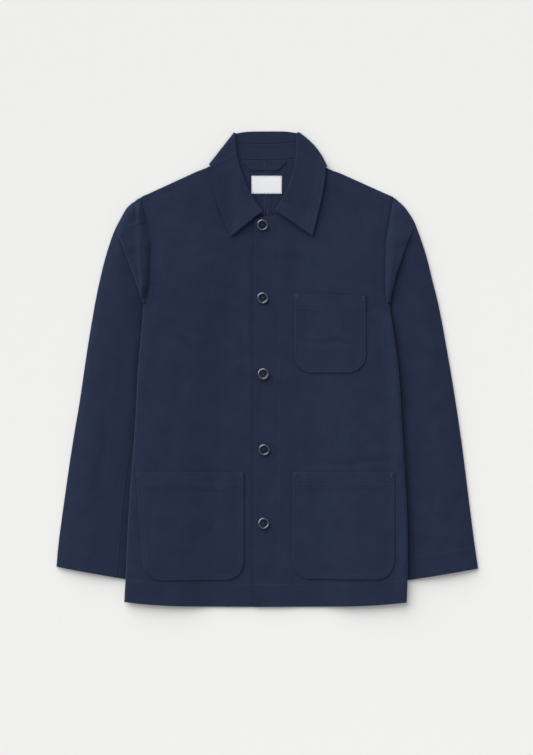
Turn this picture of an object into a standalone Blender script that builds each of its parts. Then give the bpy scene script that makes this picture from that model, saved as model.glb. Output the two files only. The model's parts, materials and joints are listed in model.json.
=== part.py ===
"""A cotton twill chore jacket, laid flat on its back with its front up.

Lengths in the tables and functions are millimetres, and are turned to metres
where a vertex is made. x runs to the wearer's left, y to the collar, z up.
Most pieces are worked out in "out", the distance from the middle of the
jacket to one side, so one function makes the wearer's right and left piece.
"""

from math import cos, pi, sin, tau

import bmesh
import bpy
from mathutils import Vector

MM = 0.001

# The cloth and how its layers lie on each other.
CLOTH = 1.2                 # wall of the twill
PLY = 1.7                   # middle of one layer to the middle of the next
FRONT_PLY = 2.0             # middle of the back panel to the middle of the front
SEAM = 0.3                  # gap between pieces that are sewn together
TURN = PLY / 2              # radius of a fold between neighbouring layers
FLOOR_PLY = CLOTH / 2       # middle of the layer that rests on the table
SLEEVE_PLY = FLOOR_PLY + PLY
SIDE_RISE = 4 * PLY         # height that sleeve and side folds lift the back by
FRONT_TURN = (SIDE_RISE + FRONT_PLY - 2 * PLY) / 2      # radius of the fronts' side folds
FRONT_INSET = CLOTH / 2 + FRONT_TURN
FOLD_STEP = 2.2             # the back's side folds lie this far inside the fronts'
BACK_INSET = FRONT_INSET + FOLD_STEP

# Sides of the body, folded behind it over the sleeves.
SIDE_LEG = 65.0             # width of body that is folded behind at each side
RISE_FLAT = 82.0            # the lift is level this far in from the side
RISE_END = 150.0            # and has run out this far in
RISE_FADE = (152.0, 276.0)  # it fades between these heights up the armhole
UNDERARM = 109.0
ARMHOLE_TOP = 284.0

# Collar.
NECK_LIFT = (225.0, 318.0)  # the collar under the back neck lifts it from here
NECK_LIFT_OUT = (125.0, 190.0)
LEAF_RADIUS = (2 * PLY + FRONT_PLY) / 2
COLLAR_MIDDLE = FLOOR_PLY + LEAF_RADIUS
STAND_RADIUS = LEAF_RADIUS - PLY
BACK_SEAM_OUT = (20.0, 27.0)    # leaf above the stand seam, stand, at the back
FRONT_SEAM_OUT = (4.0, 5.0)     # the same at the front ends
BACK_LEAF_DROP = 16.0
LEAF_LAP = (26.0, 62.0)     # the right leaf comes down from the lap between these
NECK_SHIFT = 1.6            # shoulder line's shift off the leaf's outer edge
NECK_TUCK = 4.0             # how far inside the leaf's edge the shoulder line bends

# Fronts: the wearer's left one laps over the right one.
LAP_EDGE = 21.5
LAP_UNDER = 15.0
LAP_FADE = (22.0, 60.0)
LAP_TOP = 249.0
HEM_MIDDLE = -391.0
HEM_LIFT = 8.0              # the hem's ends lie this much higher
HEM_HALF = 232.0

# Sleeve head pleat.
PLEAT_DEPTH = 41.0
PLEAT_START = {"right": 233.0, "left": 243.0}
PLEAT_FULL = 26.0           # the pleat is pressed flat this far below its start
PLEAT_POINT = 8.0           # it comes to a point this far below its start
PLEAT_TOP = 248.0           # its edge runs straight up from here
PLEAT_TURN = 1.4            # radius of the pleat's folds
PLEAT_TURN_FADE = (215.0, 125.0)    # the upper fold opens to the underarm's over this
PLEAT_CLEAR = 2.0           # the pleat ends this far inside the sleeve's outer fold
PLAIN_HEAD = 6.0            # there is no pleat this far above its start
HEAD_SLANT = 7.0            # the sleeve head's top line slants down this far
HEAD_SLANT_FADE = (255.0, 283.0)
HEAD_ROOM = 16.0            # a sleeve head narrower than this has a smaller pleat
HEAD_LEVEL_FADE = (190.0, 235.0)
HEAD_RISE = 0.6             # a plain head has come up to its level at this share
CAP_LEAST = 0.8             # least width of the cap inside the pleat
SLEEVE_TURN = 1.3           # radius of the sleeve's outer fold
SLEEVE_PUFF = 2.4           # how far the sleeve's front stands proud of flat
SLEEVE_PUFF_FADE = (250.0, 190.0)
SLEEVE_CLEAR = 12.0         # the sleeve starts to rise this far out from the body
TUCK_OUT = 12.0             # the under sleeve's fold lies this far inside the tuck
TUCK_GAP = 0.5              # and its upper layer stops this far short of the tuck
TUCK_CLIMB = 5.0            # the head's under layer climbs from this far inside it
UNDER_REACH = 14.0          # room that the under sleeve needs to fold inside the tuck
BEHIND_TOP = 190.0          # the elbow seam meets the armhole at this height
BEHIND_START = 10.0         # and lies this far out from it just above the underarm
BEHIND_CLIMB = (185.0, 215.0)
UNDERARM_TURN = (SIDE_RISE + FRONT_PLY - PLY - 2 * PLEAT_TURN) / 2

# Pockets, label and loop.
POCKET_CLEAR = 0.1          # a pocket stands off the front by this and a ply
POCKET_FOOT = 0.35          # first row of a pocket, above its foot
POCKET_FOOT_ANGLE = 0.12
LABEL_HEIGHTS = (289.5, 319.0)
LABEL_SIDES = (-25.7, 24.3)
LABEL_WALL = 1.0
LOOP_ENDS = (-39.0, 31.0)
LOOP_TOP = 343.0
LOOP_BOW = 12.0
LOOP_BEND = 0.2             # share of the loop that bends down at each end
LOOP_WIDTH = 6.8

# Buttons: the turned outline is given as shares of radius and height.
BUTTON_RADIUS = 9.8
BUTTON_HEIGHT = 3.4
BUTTON_HOLE = 0.95
BUTTON_HOLE_RING = 2.3
BUTTON_OUTLINE = ((0.0, 0.0), (0.86, 0.0), (1.0, 0.32), (0.985, 0.74), (0.90, 1.0), (0.76, 0.96),
                  (0.66, 0.72), (0.0, 0.66))
BUTTON_SEGMENTS = 24
BUTTON_COUNT = 5

# Cells of the pieces.
FOLD_CELLS = 4              # round a half turn
LEG_CELLS = 3               # across the part of a panel that is folded behind
BODY_ROWS = 11
ARMHOLE_CELLS = 8
FRONT_SHOULDER_CELLS = 5
FRONT_TOP_CELLS = 2
BACK_NECK_CELLS = 4
LEAF_CELLS = 8
LEAF_ACROSS_CELLS = 5
COLLAR_BACK_CELLS = 6
SEAM_CELLS = 2
SLEEVE_ROWS = 12
CAP_CELLS = 4
PLEAT_CELLS = 10            # two folds and the run between them
LOWER_CELLS = 8
BEHIND_CELLS = 3
BOTTOM_CELLS = 4
TUCK_POINTS = 6             # points from the pleat's inner fold to its end
POCKET_FOOT_CELLS = 3
POCKET_ROWS = 5
POCKET_CELLS = 10
LABEL_CELLS = (4, 6)
LOOP_CELLS = 14
SLEEVE_HEAD_ROWS = (283.0, 273.0, 262.0, 251.0, 241.0, 234.0, 227.0, 220.0, 212.0, 202.0,
                    190.0, 172.0, 152.0, 130.0, UNDERARM + 0.6)

FACING_UP = 0.01            # an angle this near to a quarter turn is flat
SHARP = 0.7                 # an edge that turns more than this is drawn sharp
TWILL_ROUGH = 0.9
LABEL_ROUGH = 0.75
RESIN_ROUGH = 0.22

NAVY = (0.0192, 0.0262, 0.0620, 1.0)
BUTTON_BLACK = (0.0100, 0.0105, 0.0140, 1.0)
LABEL_WHITE = (0.72, 0.72, 0.70, 1.0)


def smoothstep(start, end, value):
    """0 at start, 1 at end, and soft at both."""
    share = min(1.0, max(0.0, (value - start) / (end - start)))
    return share * share * (3 - 2 * share)


def mix(first, second, share):
    return first + (second - first) * share


def steps(start, end, count):
    """count + 1 evenly spaced values from start to end."""
    return [mix(start, end, index / count) for index in range(count + 1)]


class Table:
    """Rows with named columns, read along a smooth curve through them."""

    def __init__(self, names, rows):
        self.columns = dict(zip(names, zip(*rows)))
        self.keys = self.columns[names[0]]

    def slope(self, values, index):
        low = max(0, index - 1)
        high = min(len(values) - 1, index + 1)
        return (values[high] - values[low]) / (self.keys[high] - self.keys[low])

    def at(self, name, key):
        values = self.columns[name]
        last = len(values) - 1
        index = 0
        while index < last - 1 and key > self.keys[index + 1]:
            index += 1
        span = self.keys[index + 1] - self.keys[index]
        share = min(1.0, max(0.0, (key - self.keys[index]) / span))
        rise = share * share * (3 - 2 * share)
        start = self.slope(values, index) * span * share * (1 - share) ** 2
        end = self.slope(values, index + 1) * span * share * share * (share - 1)
        return mix(values[index], values[index + 1], rise) + start + end


# Half widths of the body's folded sides, by height.
BODY_SIDE = Table(
    ("y", "right", "left"),
    (
        (-383.0, 235.2, 229.8),
        (-340.0, 232.8, 231.0),
        (-250.0, 228.6, 230.5),
        (-165.0, 222.8, 226.0),
        (-80.0, 216.2, 221.0),
        (0.0, 212.5, 216.0),
        (50.0, 207.8, 209.0),
        (UNDERARM, 203.5, 201.5),
    ),
)

# The armhole seams, from the underarm to the shoulder.
ARMHOLE = Table(
    ("y", "right", "left"),
    (
        (UNDERARM, 200.2, 198.2),
        (128.0, 195.8, 194.4),
        (170.0, 193.5, 194.4),
        (210.0, 192.4, 195.7),
        (242.0, 201.3, 201.3),
        (284.0, 208.0, 208.5),
    ),
)

# Outer edges of the sleeves, from the cuff to the shoulder.
SLEEVE_OUT = Table(
    ("y", "right", "left"),
    (
        (-325.0, 347.3, 347.8),
        (-288.0, 344.0, 342.0),
        (-208.7, 333.3, 331.7),
        (-129.5, 321.8, 321.8),
        (-50.3, 308.6, 310.2),
        (28.9, 297.0, 297.0),
        (108.0, 283.8, 282.2),
        (147.7, 275.6, 272.3),
        (187.4, 265.7, 262.4),
        (226.9, 252.5, 249.2),
        (246.7, 242.6, 240.9),
        (266.5, 231.0, 227.7),
        (276.5, 220.0, 217.8),
        (286.0, 209.6, 208.4),
    ),
)

# The pleat's edge over the lower sleeve.
PLEAT_EDGE = Table(
    ("y", "right", "left"),
    (
        (UNDERARM, 203.3, 201.6),
        (151.0, 217.8, 211.0),
        (187.0, 231.4, 223.5),
        (220.0, 243.0, 234.5),
        (248.0, 254.0, 243.5),
    ),
)

# Lines along the sleeve, as shares of its length from the underarm: its ends'
# heights at the hidden inner fold, the inner fold, the forearm seam, and how
# far the elbow seam lies behind the outer edge.
SLEEVE_LENGTH = Table(
    ("share", "fold_right", "fold_left", "forearm_right", "forearm_left", "elbow"),
    (
        (0.0, 128.0, 126.0, 162.0, 160.0, 60.0),
        (0.12, 130.0, 130.0, 178.0, 178.0, 56.0),
        (0.35, 138.0, 142.0, 205.0, 206.0, 50.0),
        (0.58, 158.0, 160.0, 227.0, 228.0, 46.0),
        (0.80, 182.0, 180.0, 238.5, 240.0, 44.0),
        (1.0, 203.0, 198.0, 246.0, 244.0, 42.0),
    ),
)
CUFF_OUTER = {"right": -325.0, "left": -328.0}
CUFF_INNER = {"right": -351.0, "left": -353.0}
CUFF_FOLD = -325.0          # the outer fold's table ends here

# The collar's front leaves, from the side fold to the front edge: the roll
# line and the outer edge.
LEAF_RIGHT = Table(
    ("share", "roll_out", "roll_y", "edge_out", "edge_y"),
    (
        (0.0, 51.9, 389.0, 93.9, 335.4),
        (0.25, 49.5, 355.0, 91.5, 307.0),
        (0.5, 41.0, 322.0, 83.5, 277.0),
        (0.75, 27.0, 289.5, 73.0, 247.0),
        (1.0, 8.0, 260.0, 61.0, 218.1),
    ),
)
LEAF_LEFT = Table(
    ("share", "roll_out", "roll_y", "edge_out", "edge_y"),
    (
        (0.0, 49.3, 389.4, 96.8, 332.0),
        (0.25, 48.0, 357.0, 94.5, 306.0),
        (0.5, 41.9, 322.6, 89.5, 278.0),
        (0.75, 29.0, 289.0, 82.5, 249.0),
        (1.0, 13.0, 262.0, 74.9, 219.5),
    ),
)
LEAF = {"right": LEAF_RIGHT, "left": LEAF_LEFT}
FOLD_BOW = {"right": 0.0, "left": 6.0}
ROLL_RISE = 3.3

# Patch pockets: the corners' places, the corner radius and the top's slope.
POCKETS = (
    {"name": "chest_pocket", "left": 44.8, "right": 162.5, "top": 125.0, "foot": -5.8,
     "corner": 30.0, "slope": -0.034, "lean": 0.0},
    {"name": "pocket_right", "left": -216.0, "right": -38.3, "top": -168.5, "foot": -347.0,
     "corner": 30.0, "slope": 0.0, "lean": 14.0},
    {"name": "pocket_left", "left": 42.1, "right": 209.2, "top": -168.5, "foot": -345.5,
     "corner": 30.0, "slope": 0.0, "lean": 0.0},
)
BUTTONS = Table(
    ("number", "x", "y"),
    (
        (1, -7.6, 238.0),
        (2, -7.2, 117.6),
        (3, -6.1, -7.4),
        (4, -5.0, -132.0),
        (5, -5.6, -253.3),
    ),
)

ARMHOLE_ROWS = steps(UNDERARM, ARMHOLE_TOP, ARMHOLE_CELLS)
SIGN = {"right": -1.0, "left": 1.0}


# ---------------------------------------------------------------- heights

def side_edge(side, y):
    """Half width of the body: its folded side, or the armhole above it."""
    table = BODY_SIDE if y <= UNDERARM else ARMHOLE
    return table.at(side, y)


def back_height(side, out, y):
    """Middle of the back panel above the table."""
    inward = side_edge(side, y) - out
    lift = SIDE_RISE * (1 - smoothstep(*RISE_FADE, y))
    neck = PLY * smoothstep(*NECK_LIFT, y) * (1 - smoothstep(*NECK_LIFT_OUT, abs(out)))
    return FLOOR_PLY + lift * (1 - smoothstep(RISE_FLAT, RISE_END, inward)) + neck


def front_height(side, out, y):
    """Middle of a front panel; the left one climbs over the right one."""
    height = back_height(side, out, y) + FRONT_PLY
    if side == "left":
        height += PLY * (1 - smoothstep(*LAP_FADE, out))
    return height


def front_height_at(x, y):
    """The uppermost front at a place of the jacket."""
    if x >= -LAP_EDGE:
        return front_height("left", x, y)
    return front_height("right", -x, y)


def hem_height(out):
    return HEM_MIDDLE + HEM_LIFT * (abs(out) / HEM_HALF) ** 4


# ---------------------------------------------------------------- meshes

def material(name, colour, roughness):
    finish = bpy.data.materials.new(name)
    finish.use_nodes = True
    shader = finish.node_tree.nodes["Principled BSDF"]
    shader.inputs["Base Color"].default_value = colour
    shader.inputs["Roughness"].default_value = roughness
    shader.inputs["Metallic"].default_value = 0.0
    return finish


def add_object(name, bm, finish):
    mesh = bpy.data.meshes.new(name)
    bm.to_mesh(mesh)
    bm.free()
    mesh.materials.append(finish)
    mesh.shade_smooth()
    mesh.set_sharp_from_angle(angle=SHARP)
    obj = bpy.data.objects.new(name, mesh)
    bpy.context.scene.collection.objects.link(obj)
    return obj


def cloth(name, side, grid, finish, wall=CLOTH):
    """One piece of cloth from its middle surface.

    grid holds (out, y, z) by (row, column). A cell is filled where it has all
    four corners. Solidify gives the wall its thickness, half to each side.
    """
    bm = bmesh.new()
    sign = SIGN[side]
    corners = {}
    for key, (out, y, z) in grid.items():
        corners[key] = bm.verts.new(Vector((sign * out, y, z)) * MM)
    for row, column in sorted(grid):
        cell = ((row, column), (row, column + 1), (row + 1, column + 1), (row + 1, column))
        if all(key in corners for key in cell):
            bm.faces.new([corners[key] for key in cell])
    bmesh.ops.recalc_face_normals(bm, faces=bm.faces[:])
    obj = add_object(name, bm, finish)
    wall_maker = obj.modifiers.new("wall", "SOLIDIFY")
    wall_maker.thickness = wall * MM
    wall_maker.offset = 0.0
    wall_maker.use_even_offset = True
    wall_maker.use_quality_normals = True
    return obj


def half_turn(start, radius):
    """Points after start round a fold that turns down, as (along, z) pairs."""
    along, z = start
    points = []
    for angle in steps(0, pi, FOLD_CELLS)[1:]:
        points.append((along + radius * sin(angle), z + radius * (cos(angle) - 1)))
    return points


# ---------------------------------------------------------------- body

def coons(bottom, top, first, last):
    """A surface between four edges given as lists of (out, y)."""
    rows = len(first) - 1
    columns = len(bottom) - 1
    surface = {}
    for row in range(rows + 1):
        up = row / rows
        for column in range(columns + 1):
            across = column / columns
            point = []
            for axis in (0, 1):
                edges = mix(bottom[column][axis], top[column][axis], up)
                edges += mix(first[row][axis], last[row][axis], across)
                low = mix(bottom[0][axis], bottom[-1][axis], across)
                high = mix(top[0][axis], top[-1][axis], across)
                point.append(edges - mix(low, high, up))
            surface[row, column] = point
    return surface


def side_line(side, inset):
    """The panel's outer line from the hem to the shoulder."""
    hem_end = hem_height(side_edge(side, HEM_MIDDLE))
    line = []
    for y in steps(hem_end, UNDERARM, BODY_ROWS):
        line.append((BODY_SIDE.at(side, y) - inset, y))
    for y in ARMHOLE_ROWS[1:]:
        line.append((ARMHOLE.at(side, y) - SEAM / 2, y))
    return line


def shoulder_line(side):
    """The shoulder seam from the armhole to the neck."""
    start = (ARMHOLE.at(side, ARMHOLE_ROWS[-1]) - SEAM / 2, ARMHOLE_ROWS[-1])
    fold = leaf_station(side, 0.0)
    neck = across_leaf(fold, sum(BACK_SEAM_OUT) + 2 * SEAM)
    inside = across_leaf(fold, fold["width"] - NECK_TUCK)
    inside = (
        inside[0] + NECK_SHIFT * fold["across"].y,
        inside[1] - NECK_SHIFT * fold["across"].x,
    )
    points = [start]
    for share in steps(0, 1, FRONT_SHOULDER_CELLS - 1)[1:]:
        points.append((mix(start[0], inside[0], share), mix(start[1], inside[1], share)))
    points.append(neck)
    return points


def folded_side(grid, rows, column, side, radius, foot_height):
    """Carries a panel round its side fold and back under it."""
    for row in range(rows + 1):
        out, y, z = grid[row, column]
        end = side_edge(side, y) - SIDE_LEG
        path = half_turn((out, z), radius)
        for share in steps(0, 1, LEG_CELLS)[1:]:
            path.append((mix(out, end, share), foot_height))
        for index, (along, height) in enumerate(path, 1):
            grid[row, column + index] = (along, y, height)


def front_panel(side, finish):
    edge_out = -LAP_EDGE if side == "left" else -LAP_UNDER
    shoulder = shoulder_line(side)
    neck = []
    for share in steps(0, 1, LEAF_CELLS)[1:]:
        station = leaf_station(side, share)
        neck.append(across_leaf(station, sum(station["seams"]) + 2 * SEAM))
    top_edge = []
    for share in steps(0, 1, FRONT_TOP_CELLS)[1:]:
        top_edge.append((mix(neck[-1][0], edge_out, share), mix(neck[-1][1], LAP_TOP, share)))
    top = (shoulder + neck + top_edge)[::-1]
    last = side_line(side, FRONT_INSET)
    columns = len(top) - 1
    bottom = []
    for out in steps(edge_out, last[0][0], columns):
        bottom.append((out, hem_height(out)))
    rows = len(last) - 1
    first = []
    for y in steps(bottom[0][1], top[0][1], rows):
        first.append((edge_out, y))
    surface = coons(bottom, top, first, last)
    grid = {}
    for (row, column), (out, y) in surface.items():
        height = front_height(side, out, y)
        if row == rows and column >= columns - FRONT_SHOULDER_CELLS:
            height = back_height(side, out, y) + CLOTH + SEAM
        grid[row, column] = (out, y, height)
    folded_side(grid, BODY_ROWS, columns, side, FRONT_TURN, FLOOR_PLY + 2 * PLY)
    return cloth("front_" + side, side, grid, finish)


def back_panel(side, finish):
    shoulder = shoulder_line(side)
    neck = []
    for share in steps(0, 1, BACK_NECK_CELLS)[1:]:
        station = back_station(mix(0.0, 0.5, share) if side == "right" else mix(1.0, 0.5, share))
        out, y = across_leaf(station, sum(BACK_SEAM_OUT) + 2 * SEAM)
        neck.append((out * SIGN[side], y))
    neck[-1] = (SEAM / 2, neck[-1][1])
    top = (shoulder + neck)[::-1]
    last = side_line(side, BACK_INSET)
    columns = len(top) - 1
    bottom = []
    for out in steps(SEAM / 2, last[0][0], columns):
        bottom.append((out, hem_height(out)))
    rows = len(last) - 1
    first = []
    for y in steps(bottom[0][1], top[0][1], rows):
        first.append((SEAM / 2, y))
    surface = coons(bottom, top, first, last)
    grid = {}
    for (row, column), (out, y) in surface.items():
        grid[row, column] = (out, y, back_height(side, out, y))
    folded_side(grid, BODY_ROWS, columns, side, TURN, FLOOR_PLY + 3 * PLY)
    return cloth("back_" + side, side, grid, finish)


# ---------------------------------------------------------------- collar

def leaf_station(side, share):
    """A line across a front leaf, from the roll line to its outer edge."""
    table = LEAF[side]
    roll = (table.at("roll_out", share), table.at("roll_y", share))
    edge = (table.at("edge_out", share), table.at("edge_y", share))
    seams = [mix(back, front, smoothstep(0, 1, share))
             for back, front in zip(BACK_SEAM_OUT, FRONT_SEAM_OUT)]
    bow = FOLD_BOW[side] * (1 - smoothstep(0, 0.4, share))
    return make_station(roll, edge, seams, bow)


def back_station(share):
    """A line across the leaf behind the neck, in x from right to left."""
    right = leaf_station("right", 0.0)
    left = leaf_station("left", 0.0)
    dip = 4 * share * (1 - share)
    level = 1 - (2 * share - 1) ** 4
    roll = (
        mix(-right["roll"][0], left["roll"][0], share),
        mix(right["roll"][1], left["roll"][1], share) + ROLL_RISE * level,
    )
    edge = (
        mix(-right["edge"][0], left["edge"][0], share),
        mix(right["edge"][1], left["edge"][1], share) - BACK_LEAF_DROP * dip,
    )
    bow = FOLD_BOW["left"] * smoothstep(0.7, 1.0, share)
    return make_station(roll, edge, list(BACK_SEAM_OUT), bow)


def make_station(roll, edge, seams, bow):
    line = Vector(edge) - Vector(roll)
    width = line.length
    return {"roll": roll, "edge": edge, "width": width, "across": line / width,
            "seams": seams, "bow": bow}


def across_leaf(station, distance):
    """The place a distance along the station's line from the roll line."""
    share = distance / station["width"]
    across = station["across"]
    sideways = Vector((-across.y, across.x)) * station["bow"] * 4 * share * (1 - share)
    point = Vector(station["roll"]) + across * distance + sideways
    return (point.x, point.y)


def collar_rings(place_row):
    """Walks the collar from its right front end round the neck to the left.

    place_row(station, side, angle) gives one row of points. angle is a half
    turn over at each side fold: 90 degrees on a front leaf, -90 behind.
    """
    rows = []
    for share in steps(1, 0, LEAF_CELLS):
        rows.append(place_row(leaf_station("right", share), "right", pi / 2))
    for angle in steps(pi / 2, -pi / 2, FOLD_CELLS)[1:-1]:
        rows.append(place_row(leaf_station("right", 0.0), "right", angle))
    for share in steps(0, 1, COLLAR_BACK_CELLS):
        rows.append(place_row(back_station(share), "behind", -pi / 2))
    for angle in steps(-pi / 2, pi / 2, FOLD_CELLS)[1:-1]:
        rows.append(place_row(leaf_station("left", 0.0), "left", angle))
    for share in steps(0, 1, LEAF_CELLS):
        rows.append(place_row(leaf_station("left", share), "left", pi / 2))
    return rows


def collar_point(station, side, angle, distance, shift, radius):
    """A point of the collar.

    distance runs from the roll line over the leaf, shift moves it beyond the
    roll line, and radius is how far it lies from the collar's middle layer.
    """
    out, y = across_leaf(station, distance)
    out -= station["across"].x * shift
    y -= station["across"].y * shift
    if side == "behind":
        return (out, y, COLLAR_MIDDLE - radius)
    across = station["across"]
    outward = Vector((-across.y, across.x))
    reach = radius * cos(angle)
    x = SIGN[side] * (out + outward.x * reach)
    return (x, y + outward.y * reach, COLLAR_MIDDLE + radius * sin(angle))


def leaf_radius(station, side, distance, under):
    """How far the leaf, or the layer under it, lies from the middle layer."""
    if side == "behind":
        return STAND_RADIUS if under else LEAF_RADIUS
    out, y = across_leaf(station, distance)
    height = front_height(side, out, y)
    if side == "right" and not under:
        height += PLY * (1 - smoothstep(*LEAF_LAP, out))
    if not under:
        height += PLY
    return height - COLLAR_MIDDLE


def leaf_row(station, side, angle):
    """One line over the leaf, round the roll and back to the stand seam."""
    inset = TURN + CLOTH / 2
    turned = abs(angle) < pi / 2 - FACING_UP
    row = []

    def radius_at(distance, under):
        if turned:
            return STAND_RADIUS if under else LEAF_RADIUS
        return leaf_radius(station, side, distance, under)

    for distance in steps(station["width"] - CLOTH / 2, inset, LEAF_ACROSS_CELLS):
        row.append(collar_point(station, side, angle, distance, 0.0, radius_at(distance, False)))
    upper = radius_at(inset, False)
    lower = radius_at(inset, True)
    for turn in steps(0, pi, FOLD_CELLS)[1:]:
        radius = mix(lower, upper, (1 + cos(turn)) / 2)
        row.append(collar_point(station, side, angle, inset, TURN * sin(turn), radius))
    for distance in steps(inset, station["seams"][0], SEAM_CELLS)[1:]:
        row.append(collar_point(station, side, angle, distance, 0.0, radius_at(distance, True)))
    return row


def stand_row(station, side, angle):
    """One line over the stand, from the leaf's seam to the neck seam."""
    turned = abs(angle) < pi / 2 - FACING_UP
    start = station["seams"][0] + SEAM
    row = []
    for distance in steps(start, start + station["seams"][1], SEAM_CELLS):
        radius = STAND_RADIUS if turned else leaf_radius(station, side, distance, True)
        row.append(collar_point(station, side, angle, distance, 0.0, radius))
    return row


def collar(name, place_row, finish):
    grid = {}
    for row, points in enumerate(collar_rings(place_row)):
        for column, point in enumerate(points):
            grid[row, column] = point
    return cloth(name, "left", grid, finish)


# ---------------------------------------------------------------- sleeves

def armhole_point(side, y, height_at, fold_inset):
    """A place on an armhole seam, on the straight runs between the rows."""
    for low, high in zip(ARMHOLE_ROWS, ARMHOLE_ROWS[1:]):
        if y <= high:
            break
    ends = []
    for end in (low, high):
        out = ARMHOLE.at(side, end) - SEAM / 2
        if end == UNDERARM:
            out = BODY_SIDE.at(side, end) - fold_inset
        ends.append((out, height_at(side, out, end)))
    share = (y - low) / (high - low)
    return mix(ends[0][0], ends[1][0], share) + SEAM, mix(ends[0][1], ends[1][1], share)


def pleat_row(side, y):
    """A level line over the sleeve head.

    Returns the (out, z) points of the cap and of the pleat, and the middle of
    the sleeve's outer fold with the way out from it.
    """
    start_out, start_z = armhole_point(side, y, front_height, FRONT_INSET)
    outer, y_outer, normal = sleeve_edge(side, y - HEAD_SLANT * smoothstep(*HEAD_SLANT_FADE, y))
    pleat = PLEAT_START[side]
    sweep = pi * smoothstep(pleat, pleat - PLEAT_FULL, y)
    point = pleat - PLEAT_POINT
    under = max(1.0, PLEAT_DEPTH * (point - y) / (point - UNDERARM))
    radius = mix(PLEAT_TURN, UNDERARM_TURN, smoothstep(*PLEAT_TURN_FADE, y))
    room = min(1.0, (outer - start_out) / HEAD_ROOM)
    lengths = (pi * radius * room, under * room, pi * PLEAT_TURN * room)
    path = trace_pleat(sweep, lengths)
    advance, drop = path[-1]
    edge = PLEAT_EDGE.at(side, min(y, PLEAT_TOP)) - CLOTH / 2
    edge -= radius * smoothstep(0, pi, sweep)
    edge = min(edge, outer - PLEAT_CLEAR * room - advance)
    edge = max(edge, start_out + CAP_LEAST)
    top_z = head_level(y) - drop
    cap = []
    for share in steps(0, 1, CAP_CELLS)[:-1]:
        height = mix(start_z, top_z, smoothstep(0, 1, share))
        cap.append((mix(start_out, edge, share), height))
    pleated = [(edge + along, top_z + z) for along, z in path]
    return cap, [(edge, top_z)] + pleated, (outer, y_outer, normal)


def sleeve_edge(side, y):
    """Middle of the sleeve's outer fold, and the way out from it."""
    slope = (SLEEVE_OUT.at(side, y + 1.0) - SLEEVE_OUT.at(side, y - 1.0)) / 2
    normal = Vector((1.0, -slope)).normalized()
    inset = CLOTH / 2 + SLEEVE_TURN
    return SLEEVE_OUT.at(side, y) - inset * normal.x, y - inset * normal.y, normal


def head_level(y):
    """Middle of the sleeve's front just outside the pleat."""
    return mix(SLEEVE_PLY, FLOOR_PLY + 2 * SLEEVE_TURN, smoothstep(*HEAD_LEVEL_FADE, y))


def trace_pleat(sweep, lengths):
    """Turns down through sweep, runs straight, and turns level again."""
    along = 0.0
    z = 0.0
    heading = 0.0
    points = []
    run_cells = PLEAT_CELLS - 2 * FOLD_CELLS
    stages = (
        (lengths[0], sweep, FOLD_CELLS),
        (lengths[1], 0.0, run_cells),
        (lengths[2], -sweep, FOLD_CELLS),
    )
    for length, turn, cells in stages:
        step = length / cells
        for _ in range(cells):
            heading += turn / cells / 2
            along += step * cos(heading)
            z -= step * sin(heading)
            heading += turn / cells / 2
            points.append((along, z))
    return points


def sleeve_share_row(side, share):
    """Ends of a line across the lower sleeve, share of its length down."""
    inner_y = mix(SLEEVE_HEAD_ROWS[-1], CUFF_INNER[side], share)
    outer_y = mix(SLEEVE_HEAD_ROWS[-1], CUFF_OUTER[side], share)
    inner = SLEEVE_LENGTH.at("fold_" + side, share)
    outer = SLEEVE_OUT.at(side, max(outer_y, CUFF_FOLD)) - CLOTH / 2 - SLEEVE_TURN
    return inner, inner_y, outer, outer_y


def on_row(ends, out):
    inner, inner_y, outer, outer_y = ends
    return mix(inner_y, outer_y, (out - inner) / (outer - inner))


def sleeve_level(side, out, y, start, outer):
    """Middle of the lower sleeve's front, proud between body and outer edge."""
    low, level = start
    inner = side_edge(side, min(y, UNDERARM)) + SLEEVE_CLEAR
    share = min(1.0, max(0.0, (out - inner) / (outer - inner)))
    climb = smoothstep(low, outer, out)
    edge = FLOOR_PLY + 2 * SLEEVE_TURN
    puff = SLEEVE_PUFF * smoothstep(*SLEEVE_PUFF_FADE, y)
    return mix(level, edge, climb) + puff * sin(pi * share) ** 2


def elbow_out(side, y):
    """The elbow seam behind the sleeve head, where the under sleeve starts."""
    outer = SLEEVE_OUT.at(side, y)
    seam = armhole_point(side, y, back_height, BACK_INSET)[0]
    if y > BEHIND_TOP:
        return seam
    underarm_out = outer - SLEEVE_LENGTH.at("elbow", 0.0)
    return mix(seam + BEHIND_START, underarm_out, (BEHIND_TOP - y) / (BEHIND_TOP - UNDERARM))


def behind_height(side, out, y, edge):
    """Under layer of the sleeve head: it climbs to the back's armhole."""
    seam, height = armhole_point(side, y, back_height, BACK_INSET)
    climb = smoothstep(*BEHIND_CLIMB, y) * smoothstep(edge, seam, out)
    return FLOOR_PLY + (height - FLOOR_PLY) * climb


def plain_head(start, end, cells):
    """The sleeve's front above the pleat, evenly from the seam to the fold."""
    points = []
    for share in steps(0, 1, cells):
        rise = smoothstep(0.0, HEAD_RISE, share)
        points.append((mix(start[0], end[0], share), mix(start[1], end[1], rise)))
    return points


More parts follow.
